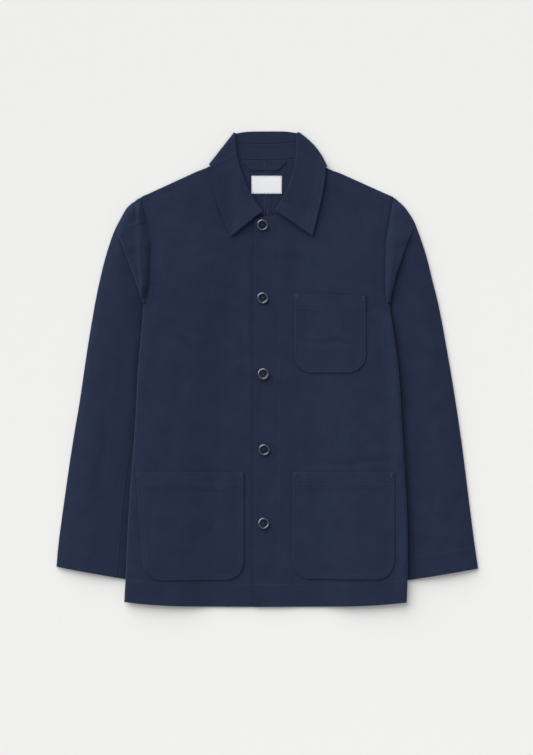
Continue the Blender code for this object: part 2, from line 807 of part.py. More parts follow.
def top_sleeve(side, finish):
    grid = {}
    first_lower = CAP_CELLS + PLEAT_CELLS
    for row, y in enumerate(SLEEVE_HEAD_ROWS):
        cap, pleated, (outer, y_outer, normal) = pleat_row(side, y)
        start = cap[0][0]
        points = cap + pleated
        tuck_end = pleated[-1][0]
        for out in steps(tuck_end, outer, LOWER_CELLS)[1:]:
            points.append((out, sleeve_level(side, out, y, pleated[-1], outer)))
        if y > PLEAT_START[side] + PLAIN_HEAD:
            points = plain_head(cap[0], (outer, head_level(y)), len(points) - 1)
        fold = half_turn((0.0, points[-1][1]), SLEEVE_TURN)
        elbow = elbow_out(side, y)
        behind = []
        for out in steps(outer, elbow, BEHIND_CELLS)[1:]:
            behind.append((out, behind_height(side, out, y, tuck_end - TUCK_CLIMB)))
        placed = []
        for out, z in points:
            placed.append((out, mix(y, y_outer, (out - start) / (outer - start)), z))
        for reach, z in fold:
            placed.append((outer + reach * normal.x, y_outer + reach * normal.y, z))
        for out, z in behind:
            placed.append((out, mix(y, y_outer, (out - elbow) / (outer - elbow)), z))
        for column, point in enumerate(placed):
            grid[row, column] = point
    head = len(SLEEVE_HEAD_ROWS) - 1
    for index in range(1, SLEEVE_ROWS + 1):
        share = index / SLEEVE_ROWS
        ends = sleeve_share_row(side, share)
        outer = ends[2]
        forearm = SLEEVE_LENGTH.at("forearm_" + side, share) + SEAM
        start = (side_edge(side, on_row(ends, forearm)) + SLEEVE_CLEAR, SLEEVE_PLY)
        points = []
        for out in steps(forearm, outer, LOWER_CELLS):
            points.append((out, sleeve_level(side, out, on_row(ends, out), start, outer)))
        points += half_turn(points[-1], SLEEVE_TURN)
        elbow = outer - SLEEVE_LENGTH.at("elbow", share) + SEAM
        for out in steps(outer, elbow, BEHIND_CELLS)[1:]:
            points.append((out, FLOOR_PLY))
        for column, (out, z) in enumerate(points):
            grid[head + index, first_lower + column] = (out, on_row(ends, out), z)
    return cloth("top_sleeve_" + side, side, grid, finish)


def under_sleeve(side, finish):
    grid = {}
    row = 0
    for y in [level for level in SLEEVE_HEAD_ROWS if level <= BEHIND_TOP]:
        _, pleated, _ = pleat_row(side, y)
        elbow = elbow_out(side, y) - SEAM
        tuck = min(out for out, z in pleated[-TUCK_POINTS:]) - CLOTH / 2
        seam = armhole_point(side, y, back_height, BACK_INSET)[0]
        folded = tuck - TUCK_OUT < seam - UNDER_REACH
        inner = tuck - TUCK_OUT if folded else seam
        points = [(out, FLOOR_PLY) for out in steps(elbow, inner, BOTTOM_CELLS)]
        if folded:
            points += turn_inner(inner, tuck - TUCK_GAP)
        for column, (out, z) in enumerate(points):
            grid[row, column] = (out, y - (SEAM if row == 0 else 0.0), z)
        row += 1
    for index in range(1, SLEEVE_ROWS + 1):
        share = index / SLEEVE_ROWS
        ends = sleeve_share_row(side, share)
        elbow = ends[2] - SLEEVE_LENGTH.at("elbow", share) - SEAM / 2
        forearm = SLEEVE_LENGTH.at("forearm_" + side, share) - SEAM / 2
        points = [(out, FLOOR_PLY) for out in steps(elbow, ends[0], BOTTOM_CELLS)]
        points += turn_inner(ends[0], forearm)
        for column, (out, z) in enumerate(points):
            grid[row, column] = (out, on_row(ends, out), z)
        row += 1
    return cloth("under_sleeve_" + side, side, grid, finish)


def turn_inner(inner, end):
    """From the table layer round the inner fold and out on the upper layer."""
    points = []
    for angle in steps(0, pi, FOLD_CELLS)[1:]:
        points.append((inner - TURN * sin(angle), FLOOR_PLY + TURN * (1 - cos(angle))))
    for out in steps(inner, end, SEAM_CELLS)[1:]:
        points.append((out, SLEEVE_PLY))
    return points


# ---------------------------------------------------------------- on the body

def pocket_half_width(shape, up):
    """Half width at a height above the foot, drawn in by its round corners."""
    corner = shape["corner"]
    if up >= corner:
        return 1.0
    inset = corner - (corner ** 2 - (corner - up) ** 2) ** 0.5
    return 1 - 2 * inset / (shape["right"] - shape["left"])


def pocket(shape, finish):
    """A patch on a front: rows follow its round foot, columns its width."""
    height = shape["top"] - shape["foot"]
    corner = shape["corner"]
    turns = steps(POCKET_FOOT_ANGLE, pi / 2, POCKET_FOOT_CELLS)[1:]
    levels = [POCKET_FOOT] + [corner * (1 - cos(angle)) for angle in turns]
    levels += steps(corner, height, POCKET_ROWS)[1:]
    middle = (shape["left"] + shape["right"]) / 2
    half = (shape["right"] - shape["left"]) / 2
    grid = {}
    for row, up in enumerate(levels):
        reach = half * pocket_half_width(shape, up)
        lean = shape["lean"] * (1 - up / height)
        for column, across in enumerate(steps(-1, 1, POCKET_CELLS)):
            x = middle + across * reach
            if across < 0:
                x -= lean * across
            y = shape["foot"] + up + shape["slope"] * (x - shape["left"]) * up / height
            z = front_height_at(x, y) + PLY + POCKET_CLEAR
            grid[row, column] = (x, y, z)
    return cloth(shape["name"], "left", grid, finish)


def neck_label(finish):
    """A blank woven label inside the back neck."""
    grid = {}
    for row, y in enumerate(steps(*LABEL_HEIGHTS, LABEL_CELLS[0])):
        for column, x in enumerate(steps(*LABEL_SIDES, LABEL_CELLS[1])):
            side = "left" if x >= 0 else "right"
            height = back_height(side, abs(x), y) + CLOTH / 2 + SEAM + LABEL_WALL / 2
            grid[row, column] = (x, y, height)
    return cloth("neck_label", "left", grid, finish, wall=LABEL_WALL)


def hanger_loop(finish):
    """A narrow strip that hangs in a shallow bow below the neck seam."""
    grid = {}
    for column, share in enumerate(steps(0, 1, LOOP_CELLS)):
        x = mix(*LOOP_ENDS, share)
        ends = min(share, 1 - share)
        bow = LOOP_BOW * smoothstep(0.0, LOOP_BEND, ends)
        for row, offset in enumerate((-LOOP_WIDTH / 2, LOOP_WIDTH / 2)):
            grid[row, column] = (x, LOOP_TOP - bow + offset, FLOOR_PLY + 2 * PLY)
    return cloth("hanger_loop", "left", grid, finish)


def button_mesh():
    """A turned button: flat foot, rounded rim and a dished middle."""
    bm = bmesh.new()
    corners = []
    for radius, height in BUTTON_OUTLINE:
        place = Vector((radius * BUTTON_RADIUS, 0.0, height * BUTTON_HEIGHT)) * MM
        corners.append(bm.verts.new(place))
    for low, high in zip(corners, corners[1:]):
        bm.edges.new((low, high))
    bmesh.ops.spin(bm, geom=bm.verts[:] + bm.edges[:], cent=(0, 0, 0), axis=(0, 0, 1),
                   angle=tau, steps=BUTTON_SEGMENTS, use_merge=True)
    bmesh.ops.remove_doubles(bm, verts=bm.verts[:], dist=1e-6)
    bmesh.ops.recalc_face_normals(bm, faces=bm.faces[:])
    return bm


def hole_cutter():
    """Four drills through a button."""
    bm = bmesh.new()
    for quarter in range(4):
        angle = pi / 4 + quarter * pi / 2
        drill = bmesh.ops.create_cone(
            bm, cap_ends=True, segments=8, radius1=BUTTON_HOLE * MM, radius2=BUTTON_HOLE * MM,
            depth=3 * BUTTON_HEIGHT * MM)
        place = Vector((cos(angle), sin(angle), 0.0)) * BUTTON_HOLE_RING * MM
        bmesh.ops.translate(bm, verts=drill["verts"], vec=place)
    return bm


def button(number, finish):
    x = BUTTONS.at("x", number)
    y = BUTTONS.at("y", number)
    z = front_height("left", x, y) + CLOTH / 2 + SEAM
    place = Vector((x, y, z)) * MM
    obj = add_object("button_%d" % number, button_mesh(), finish)
    obj.location = place
    cutter = add_object("button_drill_%d" % number, hole_cutter(), finish)
    cutter.location = place
    cutter.hide_render = True
    cutter.display_type = "WIRE"
    holes = obj.modifiers.new("holes", "BOOLEAN")
    holes.operation = "DIFFERENCE"
    holes.object = cutter
    return obj


# ---------------------------------------------------------------- jacket

def clear_scene():
    for obj in list(bpy.data.objects):
        bpy.data.objects.remove(obj, do_unlink=True)


def main():
    clear_scene()
    for side in ("right", "left"):
        back_panel(side, material("back_%s_twill" % side, NAVY, TWILL_ROUGH))
        front_panel(side, material("front_%s_twill" % side, NAVY, TWILL_ROUGH))
        under_sleeve(side, material("under_sleeve_%s_twill" % side, NAVY, TWILL_ROUGH))
        top_sleeve(side, material("top_sleeve_%s_twill" % side, NAVY, TWILL_ROUGH))
    collar("collar_leaf", leaf_row, material("collar_leaf_twill", NAVY, TWILL_ROUGH))
    collar("collar_stand", stand_row, material("collar_stand_twill", NAVY, TWILL_ROUGH))
    hanger_loop(material("hanger_loop_twill", NAVY, TWILL_ROUGH))
    neck_label(material("neck_label_weave", LABEL_WHITE, LABEL_ROUGH))
    for shape in POCKETS:
        pocket(shape, material(shape["name"] + "_twill", NAVY, TWILL_ROUGH))
    for number in range(1, BUTTON_COUNT + 1):
        button(number, material("button_%d_resin" % number, BUTTON_BLACK, RESIN_ROUGH))


main()
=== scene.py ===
"""Looks of a cotton twill chore jacket that lies flat on its back, front up.

Lengths in the tables and functions are millimetres, and are turned to metres
where a vertex is made. x runs to the wearer's left, y to the collar, z up.
Most pieces are worked out in "out", the distance from the middle of the
jacket to one side, so one function makes the wearer's right and left piece.
A point of a piece is (out, y, z, lift). lift is 1 on the upper layers, which
the creases of the front raise, and 0 on the layers that lie under them.
"""

import json
from math import cos, pi, radians, sin, tau

import bmesh
import bpy
import numpy as np
from bpy.props import FloatProperty, FloatVectorProperty, PointerProperty, StringProperty
from mathutils import Euler, Matrix, Vector
from mathutils.bvhtree import BVHTree

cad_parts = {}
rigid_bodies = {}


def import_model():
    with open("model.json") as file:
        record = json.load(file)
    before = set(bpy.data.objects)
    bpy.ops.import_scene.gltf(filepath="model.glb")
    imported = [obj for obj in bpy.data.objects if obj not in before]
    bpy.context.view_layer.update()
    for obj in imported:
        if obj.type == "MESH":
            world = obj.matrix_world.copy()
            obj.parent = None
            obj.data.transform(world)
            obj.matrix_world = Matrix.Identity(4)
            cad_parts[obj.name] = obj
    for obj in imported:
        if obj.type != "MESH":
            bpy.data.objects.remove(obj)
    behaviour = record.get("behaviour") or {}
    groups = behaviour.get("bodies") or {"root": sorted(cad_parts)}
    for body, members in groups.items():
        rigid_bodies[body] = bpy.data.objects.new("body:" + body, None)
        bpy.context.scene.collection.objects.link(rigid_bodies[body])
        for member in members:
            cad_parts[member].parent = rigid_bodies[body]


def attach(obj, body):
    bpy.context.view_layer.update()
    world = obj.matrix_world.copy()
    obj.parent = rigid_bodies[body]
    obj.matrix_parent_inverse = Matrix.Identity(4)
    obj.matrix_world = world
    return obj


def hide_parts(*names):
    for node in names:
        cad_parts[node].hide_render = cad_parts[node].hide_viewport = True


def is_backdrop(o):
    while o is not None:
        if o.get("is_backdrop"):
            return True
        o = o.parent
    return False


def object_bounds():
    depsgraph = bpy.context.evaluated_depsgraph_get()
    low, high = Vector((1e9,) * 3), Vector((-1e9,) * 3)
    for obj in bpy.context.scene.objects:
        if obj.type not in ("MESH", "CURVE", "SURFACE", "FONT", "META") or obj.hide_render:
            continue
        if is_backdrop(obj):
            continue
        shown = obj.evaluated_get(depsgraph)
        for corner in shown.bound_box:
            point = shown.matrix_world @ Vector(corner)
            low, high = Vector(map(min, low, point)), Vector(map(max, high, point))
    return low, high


bl_info = {
    "name": "Chore jacket",
    "version": (1, 0, 0),
    "blender": (4, 5, 0),
    "location": "3D View > Sidebar > Jacket",
    "description": "Sews the cloth, seams and buttons of a flat-laid chore jacket",
    "category": "Object",
}

for start_object in list(bpy.data.objects):
    bpy.data.objects.remove(start_object, do_unlink=True)
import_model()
CAD_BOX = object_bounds()

MM = 0.001

# The cloth and how its layers lie on each other.
CLOTH = 1.2  # wall of the twill
PLY = 1.7  # middle of one layer to the middle of the next
FRONT_PLY = 2  # the same from the back panel to the front
SEAM = 0.3  # gap between pieces that are sewn together
TURN = PLY / 2  # radius of a fold between neighbouring layers
FLOOR_PLY = CLOTH / 2  # middle of the layer that rests on the table
SLEEVE_PLY = FLOOR_PLY + PLY
SIDE_RISE = 4 * PLY  # sleeve and side folds lift the back by this
FRONT_TURN = (SIDE_RISE + FRONT_PLY - 2 * PLY) / 2  # radius of the fronts' side folds
FRONT_INSET = CLOTH / 2 + FRONT_TURN
FOLD_STEP = 2.2  # the back's side folds lie this far inside the fronts'
BACK_INSET = FRONT_INSET + FOLD_STEP
FOLD_CELLS = 4  # cells round a half turn
LEG_CELLS = 3  # cells across the part folded behind

# Sides of the body, folded behind it over the sleeves.
SIDE_LEG = 65  # width folded behind at each side
RISE_FLAT = 82  # the lift is level this far in from the side
RISE_END = 150  # and has run out this far in
RISE_FADE = (152, 276)  # it fades between these heights up the armhole
UNDERARM = 109
ARMHOLE_TOP = 284

# Collar.
NECK_LIFT = (225, 318)  # the collar under the back neck lifts it from here
NECK_LIFT_OUT = (125, 190)
LEAF_RADIUS = (2 * PLY + FRONT_PLY) / 2
COLLAR_MIDDLE = FLOOR_PLY + LEAF_RADIUS
STAND_RADIUS = LEAF_RADIUS - PLY
BACK_SEAM_OUT = (20, 27)  # leaf above the stand seam, stand, at the back
FRONT_SEAM_OUT = (4, 5)  # the same at the front ends
BACK_LEAF_DROP = 16
LEAF_LAP = (26, 62)  # the right leaf comes down from the lap between these
NECK_SHIFT = 1.6  # shoulder line's shift off the leaf's outer edge
NECK_TUCK = 4  # how far inside the leaf's edge the shoulder line bends

# Fronts: the wearer's left one laps over the right one.
LAP_EDGE = 21.5
LAP_UNDER = 15
LAP_FADE = (22, 60)
LAP_TOP = 249
HEM_MIDDLE = -391
HEM_LIFT = 8  # the hem's ends lie this much higher
HEM_HALF = 232

# Sleeve head pleat.
PLEAT_DEPTH = 41
PLEAT_START = {"right": 233, "left": 243.0}
PLEAT_FULL = 40  # the pleat is pressed flat this far below its start
PLEAT_POINT = 20  # and its depth starts this far below it
PLEAT_LEAST = 0.6  # depth above that
PLEAT_TURN = 0.95  # radius of the pleat's folds
PLEAT_BUD = 0.3  # share of its folds' length that it starts with
PLEAT_TURN_FADE = (215, 125)  # the upper fold opens to the underarm's over this
HEAD_SLANT = 7  # the sleeve head's top line slants down this far
HEAD_SLANT_FADE = (255, 283)
HEAD_ROOM = 16  # a sleeve head narrower than this has a smaller pleat
PLEAT_CLEAR = 2  # the pleat ends this far inside the sleeve's outer fold
PLAIN_HEAD = 6  # there is no pleat this far above its start
SLEEVE_TURN = 1.3  # radius of the sleeve's outer fold
SLEEVE_PUFF = 2.4  # how far the sleeve's front is puffed up
SLEEVE_PUFF_FADE = (250, 190)
CAP_LOFT = {"right": 3.4, "left": 4.8}  # the cap's edge stands off the pleat by this
CAP_LOFT_CELLS = {"right": 4, "left": 2}  # and has risen so many cells from the seam
CAP_LOFT_FADE = (262, 165)
CAP_SAG = {"right": 0, "left": 0.3}  # share of that it loses again to the pleat
CAP_LEAST = 0.8  # least width of the cap inside the pleat
HEAD_BOW = 1.5  # the sleeve head's top line bows out this far
HEAD_LEVEL_FADE = (190, 235)
HEAD_RISE = 0.6  # a plain head has come up to its level at this share
HEAD_FOOT = 0.6  # the head's last row lies this far above the underarm
SLEEVE_CLEAR = 12  # the sleeve starts to rise this far out
TUCK_OUT = 12  # the under sleeve's fold lies this far inside the tuck
BEHIND_TOP = 190  # the elbow seam meets the armhole at this height
BEHIND_START = 10  # and lies this far out from it just below that
BEHIND_CLIMB = (185, 215)
UNDERARM_TURN = (SIDE_RISE + FRONT_PLY - PLY - 2 * PLEAT_TURN) / 2

# Buttons.
BUTTON_RADIUS = 9.8
BUTTON_HEIGHT = 3.4
BUTTON_HOLE = 0.95
BUTTON_HOLE_RING = 2.3


def smoothstep(start, end, value):
    """0 at start, 1 at end, and soft at both. Takes a number or an array."""
    share = np.clip((value - start) / (end - start), 0.0, 1.0)
    return share * share * (3 - 2 * share)


def mix(first, second, share):
    return first + (second - first) * share


def steps(start, end, count):
    """count + 1 evenly spaced values from start to end."""
    return [mix(start, end, index / count) for index in range(count + 1)]


class Table:
    """Rows with named columns, read along a smooth curve through them.

    Beyond its ends a table keeps their values.
    """

    def __init__(self, names, *rows):
        self.columns = dict(zip(names, zip(*rows)))
        self.keys = self.columns[names[0]]

    def slope(self, values, index):
        low = max(0, index - 1)
        high = min(len(values) - 1, index + 1)
        return (values[high] - values[low]) / (self.keys[high] - self.keys[low])

    def at(self, name, key):
        values = self.columns[name]
        last = len(values) - 1
        index = 0
        while index < last - 1 and key > self.keys[index + 1]:
            index += 1
        span = self.keys[index + 1] - self.keys[index]
        share = min(1.0, max(0.0, (key - self.keys[index]) / span))
        rise = share * share * (3 - 2 * share)
        start = self.slope(values, index) * span * share * (1 - share) ** 2
        end = self.slope(values, index + 1) * span * share * share * (share - 1)
        return mix(values[index], values[index + 1], rise) + start + end


# Half widths of the body's folded sides, by height.
BODY_SIDE = Table(
    ("y", "right", "left"),
    (-383, 235.2, 229.8),
    (-340, 232.8, 231),
    (-250, 228.6, 230.5),
    (-165, 222.8, 226),
    (-80, 216.2, 221),
    (0, 212.5, 216),
    (50, 207.8, 209),
    (UNDERARM, 203.5, 201.5),
)

# The armhole seams, from the underarm to the shoulder.
ARMHOLE = Table(
    ("y", "right", "left"),
    (UNDERARM, 200.2, 198.2),
    (128, 195.8, 194.4),
    (170, 193.5, 194.4),
    (210, 192.4, 195.7),
    (242, 201.3, 201.3),
    (284, 208, 208.5),
)

# Outer edges of the sleeves, from the cuff to the shoulder.
SLEEVE_OUT = Table(
    ("y", "right", "left"),
    (-325, 347.3, 347.8),
    (-288, 344, 342),
    (-208.7, 333.3, 331.7),
    (-129.5, 321.8, 321.8),
    (-50.3, 308.6, 310.2),
    (28.9, 297, 297),
    (108, 283.8, 282.2),
    (147.7, 275.6, 272.3),
    (187.4, 265.7, 262.4),
    (226.9, 252.5, 249.2),
    (246.7, 242.6, 240.9),
    (266.5, 231, 227.7),
    (276.5, 220, 217.8),
    (286, 209.6, 208.4),
)

# The pleat's edge over the lower sleeve. It runs straight up from the last row.
PLEAT_EDGE = Table(
    ("y", "right", "left"),
    (UNDERARM, 203.3, 201.6),
    (151, 217.8, 211),
    (187, 231.4, 223.5),
    (220, 243, 234.5),
    (248, 254, 243.5),
)

# Lines along the sleeve, by shares of its length from the underarm: the inner
# fold, the forearm seam, and how far the elbow seam lies behind the outer edge.
SLEEVE_LENGTH = Table(
    ("share", "fold_right", "fold_left", "forearm_right", "forearm_left", "elbow"),
    (0, 128, 126, 162, 160, 60),
    (0.12, 130, 130, 178, 178, 56),
    (0.35, 138, 142, 205, 206, 50),
    (0.58, 158, 160, 227, 228, 46),
    (0.80, 182, 180, 238.5, 240, 44),
    (1, 203, 198, 246, 244, 42),
)
CUFF_OUTER = {"right": -325, "left": -328.0}
CUFF_INNER = {"right": -351, "left": -353.0}

# The collar's front leaves, from the side fold to the front edge: the roll
# line and the outer edge.
LEAF_RIGHT = Table(
    ("share", "roll_out", "roll_y", "edge_out", "edge_y"),
    (0, 51.9, 389, 93.9, 335.4),
    (0.25, 49.5, 355, 91.5, 307),
    (0.5, 41, 322, 83.5, 277),
    (0.75, 27, 289.5, 73, 247),
    (1, 8, 260, 61, 218.1),
)
LEAF_LEFT = Table(
    ("share", "roll_out", "roll_y", "edge_out", "edge_y"),
    (0, 49.3, 389.4, 96.8, 332),
    (0.25, 48, 357, 94.5, 306),
    (0.5, 41.9, 322.6, 89.5, 278),
    (0.75, 29, 289, 82.5, 249),
    (1, 13, 262, 74.9, 219.5),
)
LEAF = {"right": LEAF_RIGHT, "left": LEAF_LEFT}
FOLD_BOW = {"right": 0, "left": 6.0}  # the leaf's side fold bows out this far
FOLD_BOW_FRONT = 0.4  # the bow has run out at this share of a front leaf
FOLD_BOW_BACK = 0.7  # and starts at this share of the back
ROLL_RISE = 3.3  # the roll line's crown behind the neck

# Patch pockets: the places of their edges, the top's slope, how far the side leans
# out at the foot, and the two rows of the hem below the top.
POCKETS = [
    dict(zip(("name", "left", "right", "top", "foot", "slope", "lean", "hem", "cut"), row))
    for row in (
        ("chest_pocket", 44.8, 162.5, 125, -5.8, -0.034, 0, (18, 24), (0.1177, 0.131, 0.0147)),
        ("pocket_right", -216, -38.3, -168.5, -347, 0, 14, (21, 28), (0.1777, 0.1785, 0.03)),
        ("pocket_left", 42.1, 209.2, -168.5, -345.5, 0, 0, (20, 26), (0.1671, 0.177, 0.0293)),
    )
]
POCKET_CORNER = 30

# Buttons from the collar down: their places, their turns in radians, and how far
# they tilt over and across, in degrees.
BUTTONS = [
    dict(zip(("x", "y", "turn", "over", "across"), row)) for row in (
        (-7.6, 238, 0.2, 9, 7),
        (-7.2, 117.6, 0.9, 0.5, -0.5),
        (-6.1, -7.4, 0.5, -6, -4),
        (-5, -132, 1.3, 8, -2),
        (-5.6, -253.3, 0, -7, 4),
    )
]

# Cells of the pieces' control points, and the rows they stand on.
ARMHOLE_ROWS = steps(UNDERARM, ARMHOLE_TOP, 8)
BODY_ROWS = 11
FRONT_SHOULDER_CELLS = 5
FRONT_TOP_CELLS = 2
BACK_NECK_CELLS = 4
LEAF_CELLS = 8
LEAF_ACROSS_CELLS = 5
COLLAR_BACK_CELLS = 6
SEAM_CELLS = 2
SLEEVE_HEAD_ROWS = (283, 273, 262, 251, 241, 234, 227, 220, 212, 202,
                    190, 172, 152, 130, UNDERARM + HEAD_FOOT)
SLEEVE_ROWS = 12
CAP_CELLS = 4
PLEAT_TURN_CELLS = 4
PLEAT_FLAT_CELLS = 2
PLEAT_CELLS = 2 * PLEAT_TURN_CELLS + PLEAT_FLAT_CELLS
LOWER_CELLS = 8
BEHIND_CELLS = 3
BOTTOM_CELLS = 4
TUCK_CLIMB = 5  # the head's under layer climbs this far inside the tuck
TUCK_POINTS = 6  # points from the pleat's inner fold to its end
TUCK_GAP = 0.5  # the under sleeve stops this far short of the tuck
UNDER_REACH = 14  # room for the under sleeve's fold there
POCKET_CELLS = 10
POCKET_ROWS = 5
POCKET_FOOT_CELLS = 3
POCKET_FOOT = 0.35  # first row of a pocket, above its foot
POCKET_FOOT_ANGLE = 0.12
POCKET_CLEAR = 0.1  # a pocket stands off the front by this and a ply
LABEL_HEIGHTS = (289.5, 319)
LABEL_SIDES = (-25.7, 24.3)
LABEL_WALL = 1
LABEL_CELLS = (4, 6)
LOOP_ENDS = (-39, 31)
LOOP_TOP = 343
LOOP_BOW = 12
LOOP_BEND = 0.2  # share of the loop that bends down at each end
LOOP_WIDTH = 6.8
LOOP_CELLS = 14
FACING_UP = 0.01  # an angle this near to a quarter turn is flat
SIGN = {"right": -1, "left": 1.0}

# The cut of each piece, where it shows: width, length and area in metres.
BACK_CUT = (0.31, 0.75, 0.182)
FRONT_CUT = (0.33, 0.75, 0.196)
TOP_SLEEVE_CUT = (0.22, 0.63, 0.094)
UNDER_SLEEVE_CUT = (0.18, 0.53, 0.082)
LEAF_CUT = (0.086, 0.50, 0.031)
STAND_CUT = (0.032, 0.42, 0.0075)
LABEL_CUT = (0.050, 0.0295, 0.00147)
LOOP_CUT = (0.0136, 0.080, 0.00054)  # a tape folded to half its width

# Mesh cells of the pieces, as shares of the cell that the panel sets.
FRONT_SHARE = 1
BACK_SHARE = 1
UNDER_SHARE = 1.2
SLEEVE_SHARE = 0.95
COLLAR_SHARE = 0.75
POCKET_SHARE = 0.9
LABEL_SHARE = 0.7
LEAST_CELLS = 2  # cells between two control points, at least
LEAST_LENGTH = 1e-4  # least distance of control points
EDGE_ROUND = 0.33  # rounding of a cut edge, as a share of the wall
EDGE_ANGLE = 60  # and the least angle that is rounded, in degrees

# Sewing.
HEM_STITCH = 37  # above the hem
CUFF_STITCH = 35  # above the cuff
FACING_STITCH = 20.9  # x of the row that holds the front facing
FACING_TOP = 236
POCKET_STITCHES = (2, 7.4)  # rows inside a pocket's edge
POCKET_ROW_TOP = 0.8  # they start this far below its top
TACK_INSET = 4.5  # middle of a bar tack inside the pocket's side
TACK_ENDS = (1, 9)  # and its ends below the pocket's top
TACK_PITCH = 0.8
TACK_STITCH = 4.2
LEAF_LOFT = 3.2  # the leaves' edges stand off the fronts by this
LEAF_STITCH = 4.6  # inside the collar's edge
LEAF_ROW_END = 0.93  # the row turns at this share of the outer edge
LEAF_ROW_LEAN = 0.9  # the front row keeps the edge's way from here on
NECK_ROWS = (  # on the collar behind the neck, from its roll line
    ("leaf", BACK_SEAM_OUT[0] - 1.8),
    ("stand", BACK_SEAM_OUT[0] + 2.4),
    ("stand", sum(BACK_SEAM_OUT) - 1.6),
)
NECK_ROW_SHARES = (0.03, 0.97)
FOREARM_STITCH = 2.2  # outside the forearm and elbow seams
CENTRE_STITCH = {"right": 4, "left": 5.8}  # beside the centre back seam
FELL_MIDDLE = 1  # x of the felled centre back seam
CENTRE_SEEN = 214  # the fronts hide the back seam below this
NECK_SEAM = 343
BUTTONHOLE = 20
BUTTONHOLE_SHIFT = 4  # its middle lies this far beyond the button's
BUTTONHOLE_ROW = 1.5  # its two rows lie this far off its slit
BUTTONHOLE_BAR = 1.9  # half length of the bar at each end
BUTTONHOLE_PITCH = 0.75
BUTTONHOLE_STITCH = 1.9
CUFF_TURN = 0.8  # a cuff's row goes this far round the outer fold
CUFF_TUCK = 2  # and this far under the body's edge
SLEEVE_ROWS_SEEN = {"forearm": (0.35, 0.995), "elbow": (0.05, 0.995)}
LABEL_INSET = 1.2
LABEL_PITCH = 2.4
ROW_END = 1.5  # rows stop this far short of a seam or a fold
ROW_FOOT = 2  # and this far above the hem
PUCKER_PITCH = 8.5  # from one gather of a seam to the next
STITCH_SHARE = 0.8  # a stitch's share of its pitch
STITCH_PROUD = 0.12  # a thread's middle lies this far above the cloth
STITCH_SUNK = 0.24  # and this far in it where the jacket rests
DROP_HEIGHT = 80
SHOULDER_OUT = (0, 66, 208, 300)  # the shoulder seam, as out and y
SHOULDER_Y = (386, 353, 284, 284)
SLEEVE_AIR = 3.7  # how far air lifts the sleeves' fronts

# Buttons: the turned outline as shares of radius and height.
BUTTON_PROFILE = (
    (0.80, 0), (0.90, 0.04), (0.97, 0.18), (1, 0.36), (0.995, 0.52), (0.97, 0.68),
    (0.93, 0.82), (0.88, 0.92), (0.825, 0.985), (0.78, 1), (0.74, 0.975), (0.70, 0.90),
    (0.665, 0.78), (0.62, 0.69), (0.56, 0.64), (0.50, 0.62), (0.30, 0.61), (0, 0.61),
)
BUTTON_SEGMENTS = 48
BUTTON_DISH = 0.66  # the matt dish's share of the radius
BUTTON_SEAT = 7  # radius of the ring that the button sits on
BUTTON_THREAD = 1.3  # its thread's thickness, as a share of the seams'
BUTTON_THREAD_APART = 0.35  # half the gap between a pair's stitches
BUTTON_THREAD_CROSS = 0.25  # the second pair lies this much higher
BUTTON_THREAD_END = 1.2  # a stitch is this much longer than its span
BUTTON_THREAD_TOP = 0.72  # its height, as a share of the button's

# Turn of the cloth's ends from the jacket's length, in degrees.
GRAIN = {
    "top_sleeve_right": 6.3, "under_sleeve_right": 6.3, "top_sleeve_left": -6.3,
    "under_sleeve_left": -6.3, "collar_leaf": 90, "collar_stand": 90, "hanger_loop": 90,
}

# Finishes, with the sizes of their patterns.
WAVE_PERIODS = 3.18  # bands of a wave texture in one unit
RIB_PITCH = 2.4  # the real 0.9 mm ribs are drawn this coarse
RIB_ANGLE = 63
RIB_SHADE = (0.96, 1.03)
CLOUD_SIZE = 26
CLOUD_DEPTH = 0.35
CLOUD_STRENGTH = 0.5
CLOUD_PLACES = (0.32, 0.70)  # its noise runs from dark to light here
FLECK_SIZE = 3.4
FLECK_STRETCH = (0.3, 0.7)  # this stretch of the flecks' noise
FLECK_SHADE = (0.93, 1.07)  # shades the cloth by so much
FIBRE_SIZE = 1.1
NAP_DEPTH = 0.22
TWIST_SIZE = 1.2
THREAD_DEPTH = 0.2
SCUFF_SIZE = 0.9
SCUFF_ROUGHNESS = (0.08, 0.22)
RESIN_CLOUD = 7
LABEL_END_PITCH = 0.9
LABEL_PICK_PITCH = 1.4
PAPER_GRAIN = 25

# Stage, in metres.
FLOOR_HALF = 16  # wide enough to fill a low view
FLOOR_GAP = 0.0004  # the paper lies this far under the jacket
SUN_WAY = (-0.56, 0.83, 0.62)  # from the jacket to the key light
GLOSS_PLACE = (0.25, -1.5, 2.3)
GLOSS_SIZE = 0.7


# -------- heights

def side_edge(side, y):
    """Half width of the body: its folded side, or the armhole above it."""
    table = BODY_SIDE if y <= UNDERARM else ARMHOLE
    return table.at(side, y)


def back_height(side, out, y):
    """Middle of the back panel above the table."""
    inward = side_edge(side, y) - out
    lift = SIDE_RISE * (1 - smoothstep(*RISE_FADE, y))
    neck = PLY * smoothstep(*NECK_LIFT, y) * (1 - smoothstep(*NECK_LIFT_OUT, abs(out)))
    return FLOOR_PLY + lift * (1 - smoothstep(RISE_FLAT, RISE_END, inward)) + neck


def front_height(side, out, y):
    """Middle of a front panel; the left one climbs over the right one."""
    height = back_height(side, out, y) + FRONT_PLY
    if side == "left":
        height += PLY * (1 - smoothstep(*LAP_FADE, out))
    return height


def front_height_at(x, y):
    """The uppermost front at a place of the jacket."""
    if x >= -LAP_EDGE:
        return front_height("left", x, y)
    return front_height("right", -x, y)


def hem_height(out):
    return HEM_MIDDLE + HEM_LIFT * (abs(out) / HEM_HALF) ** 4


def half_turn(start, radius):
    """Points after start round a fold that turns down, as (along, z) pairs."""
    along, z = start
    points = [(along + radius * sin(angle), z + radius * (cos(angle) - 1))
              for angle in steps(0, pi, FOLD_CELLS)[1:]]
    return points


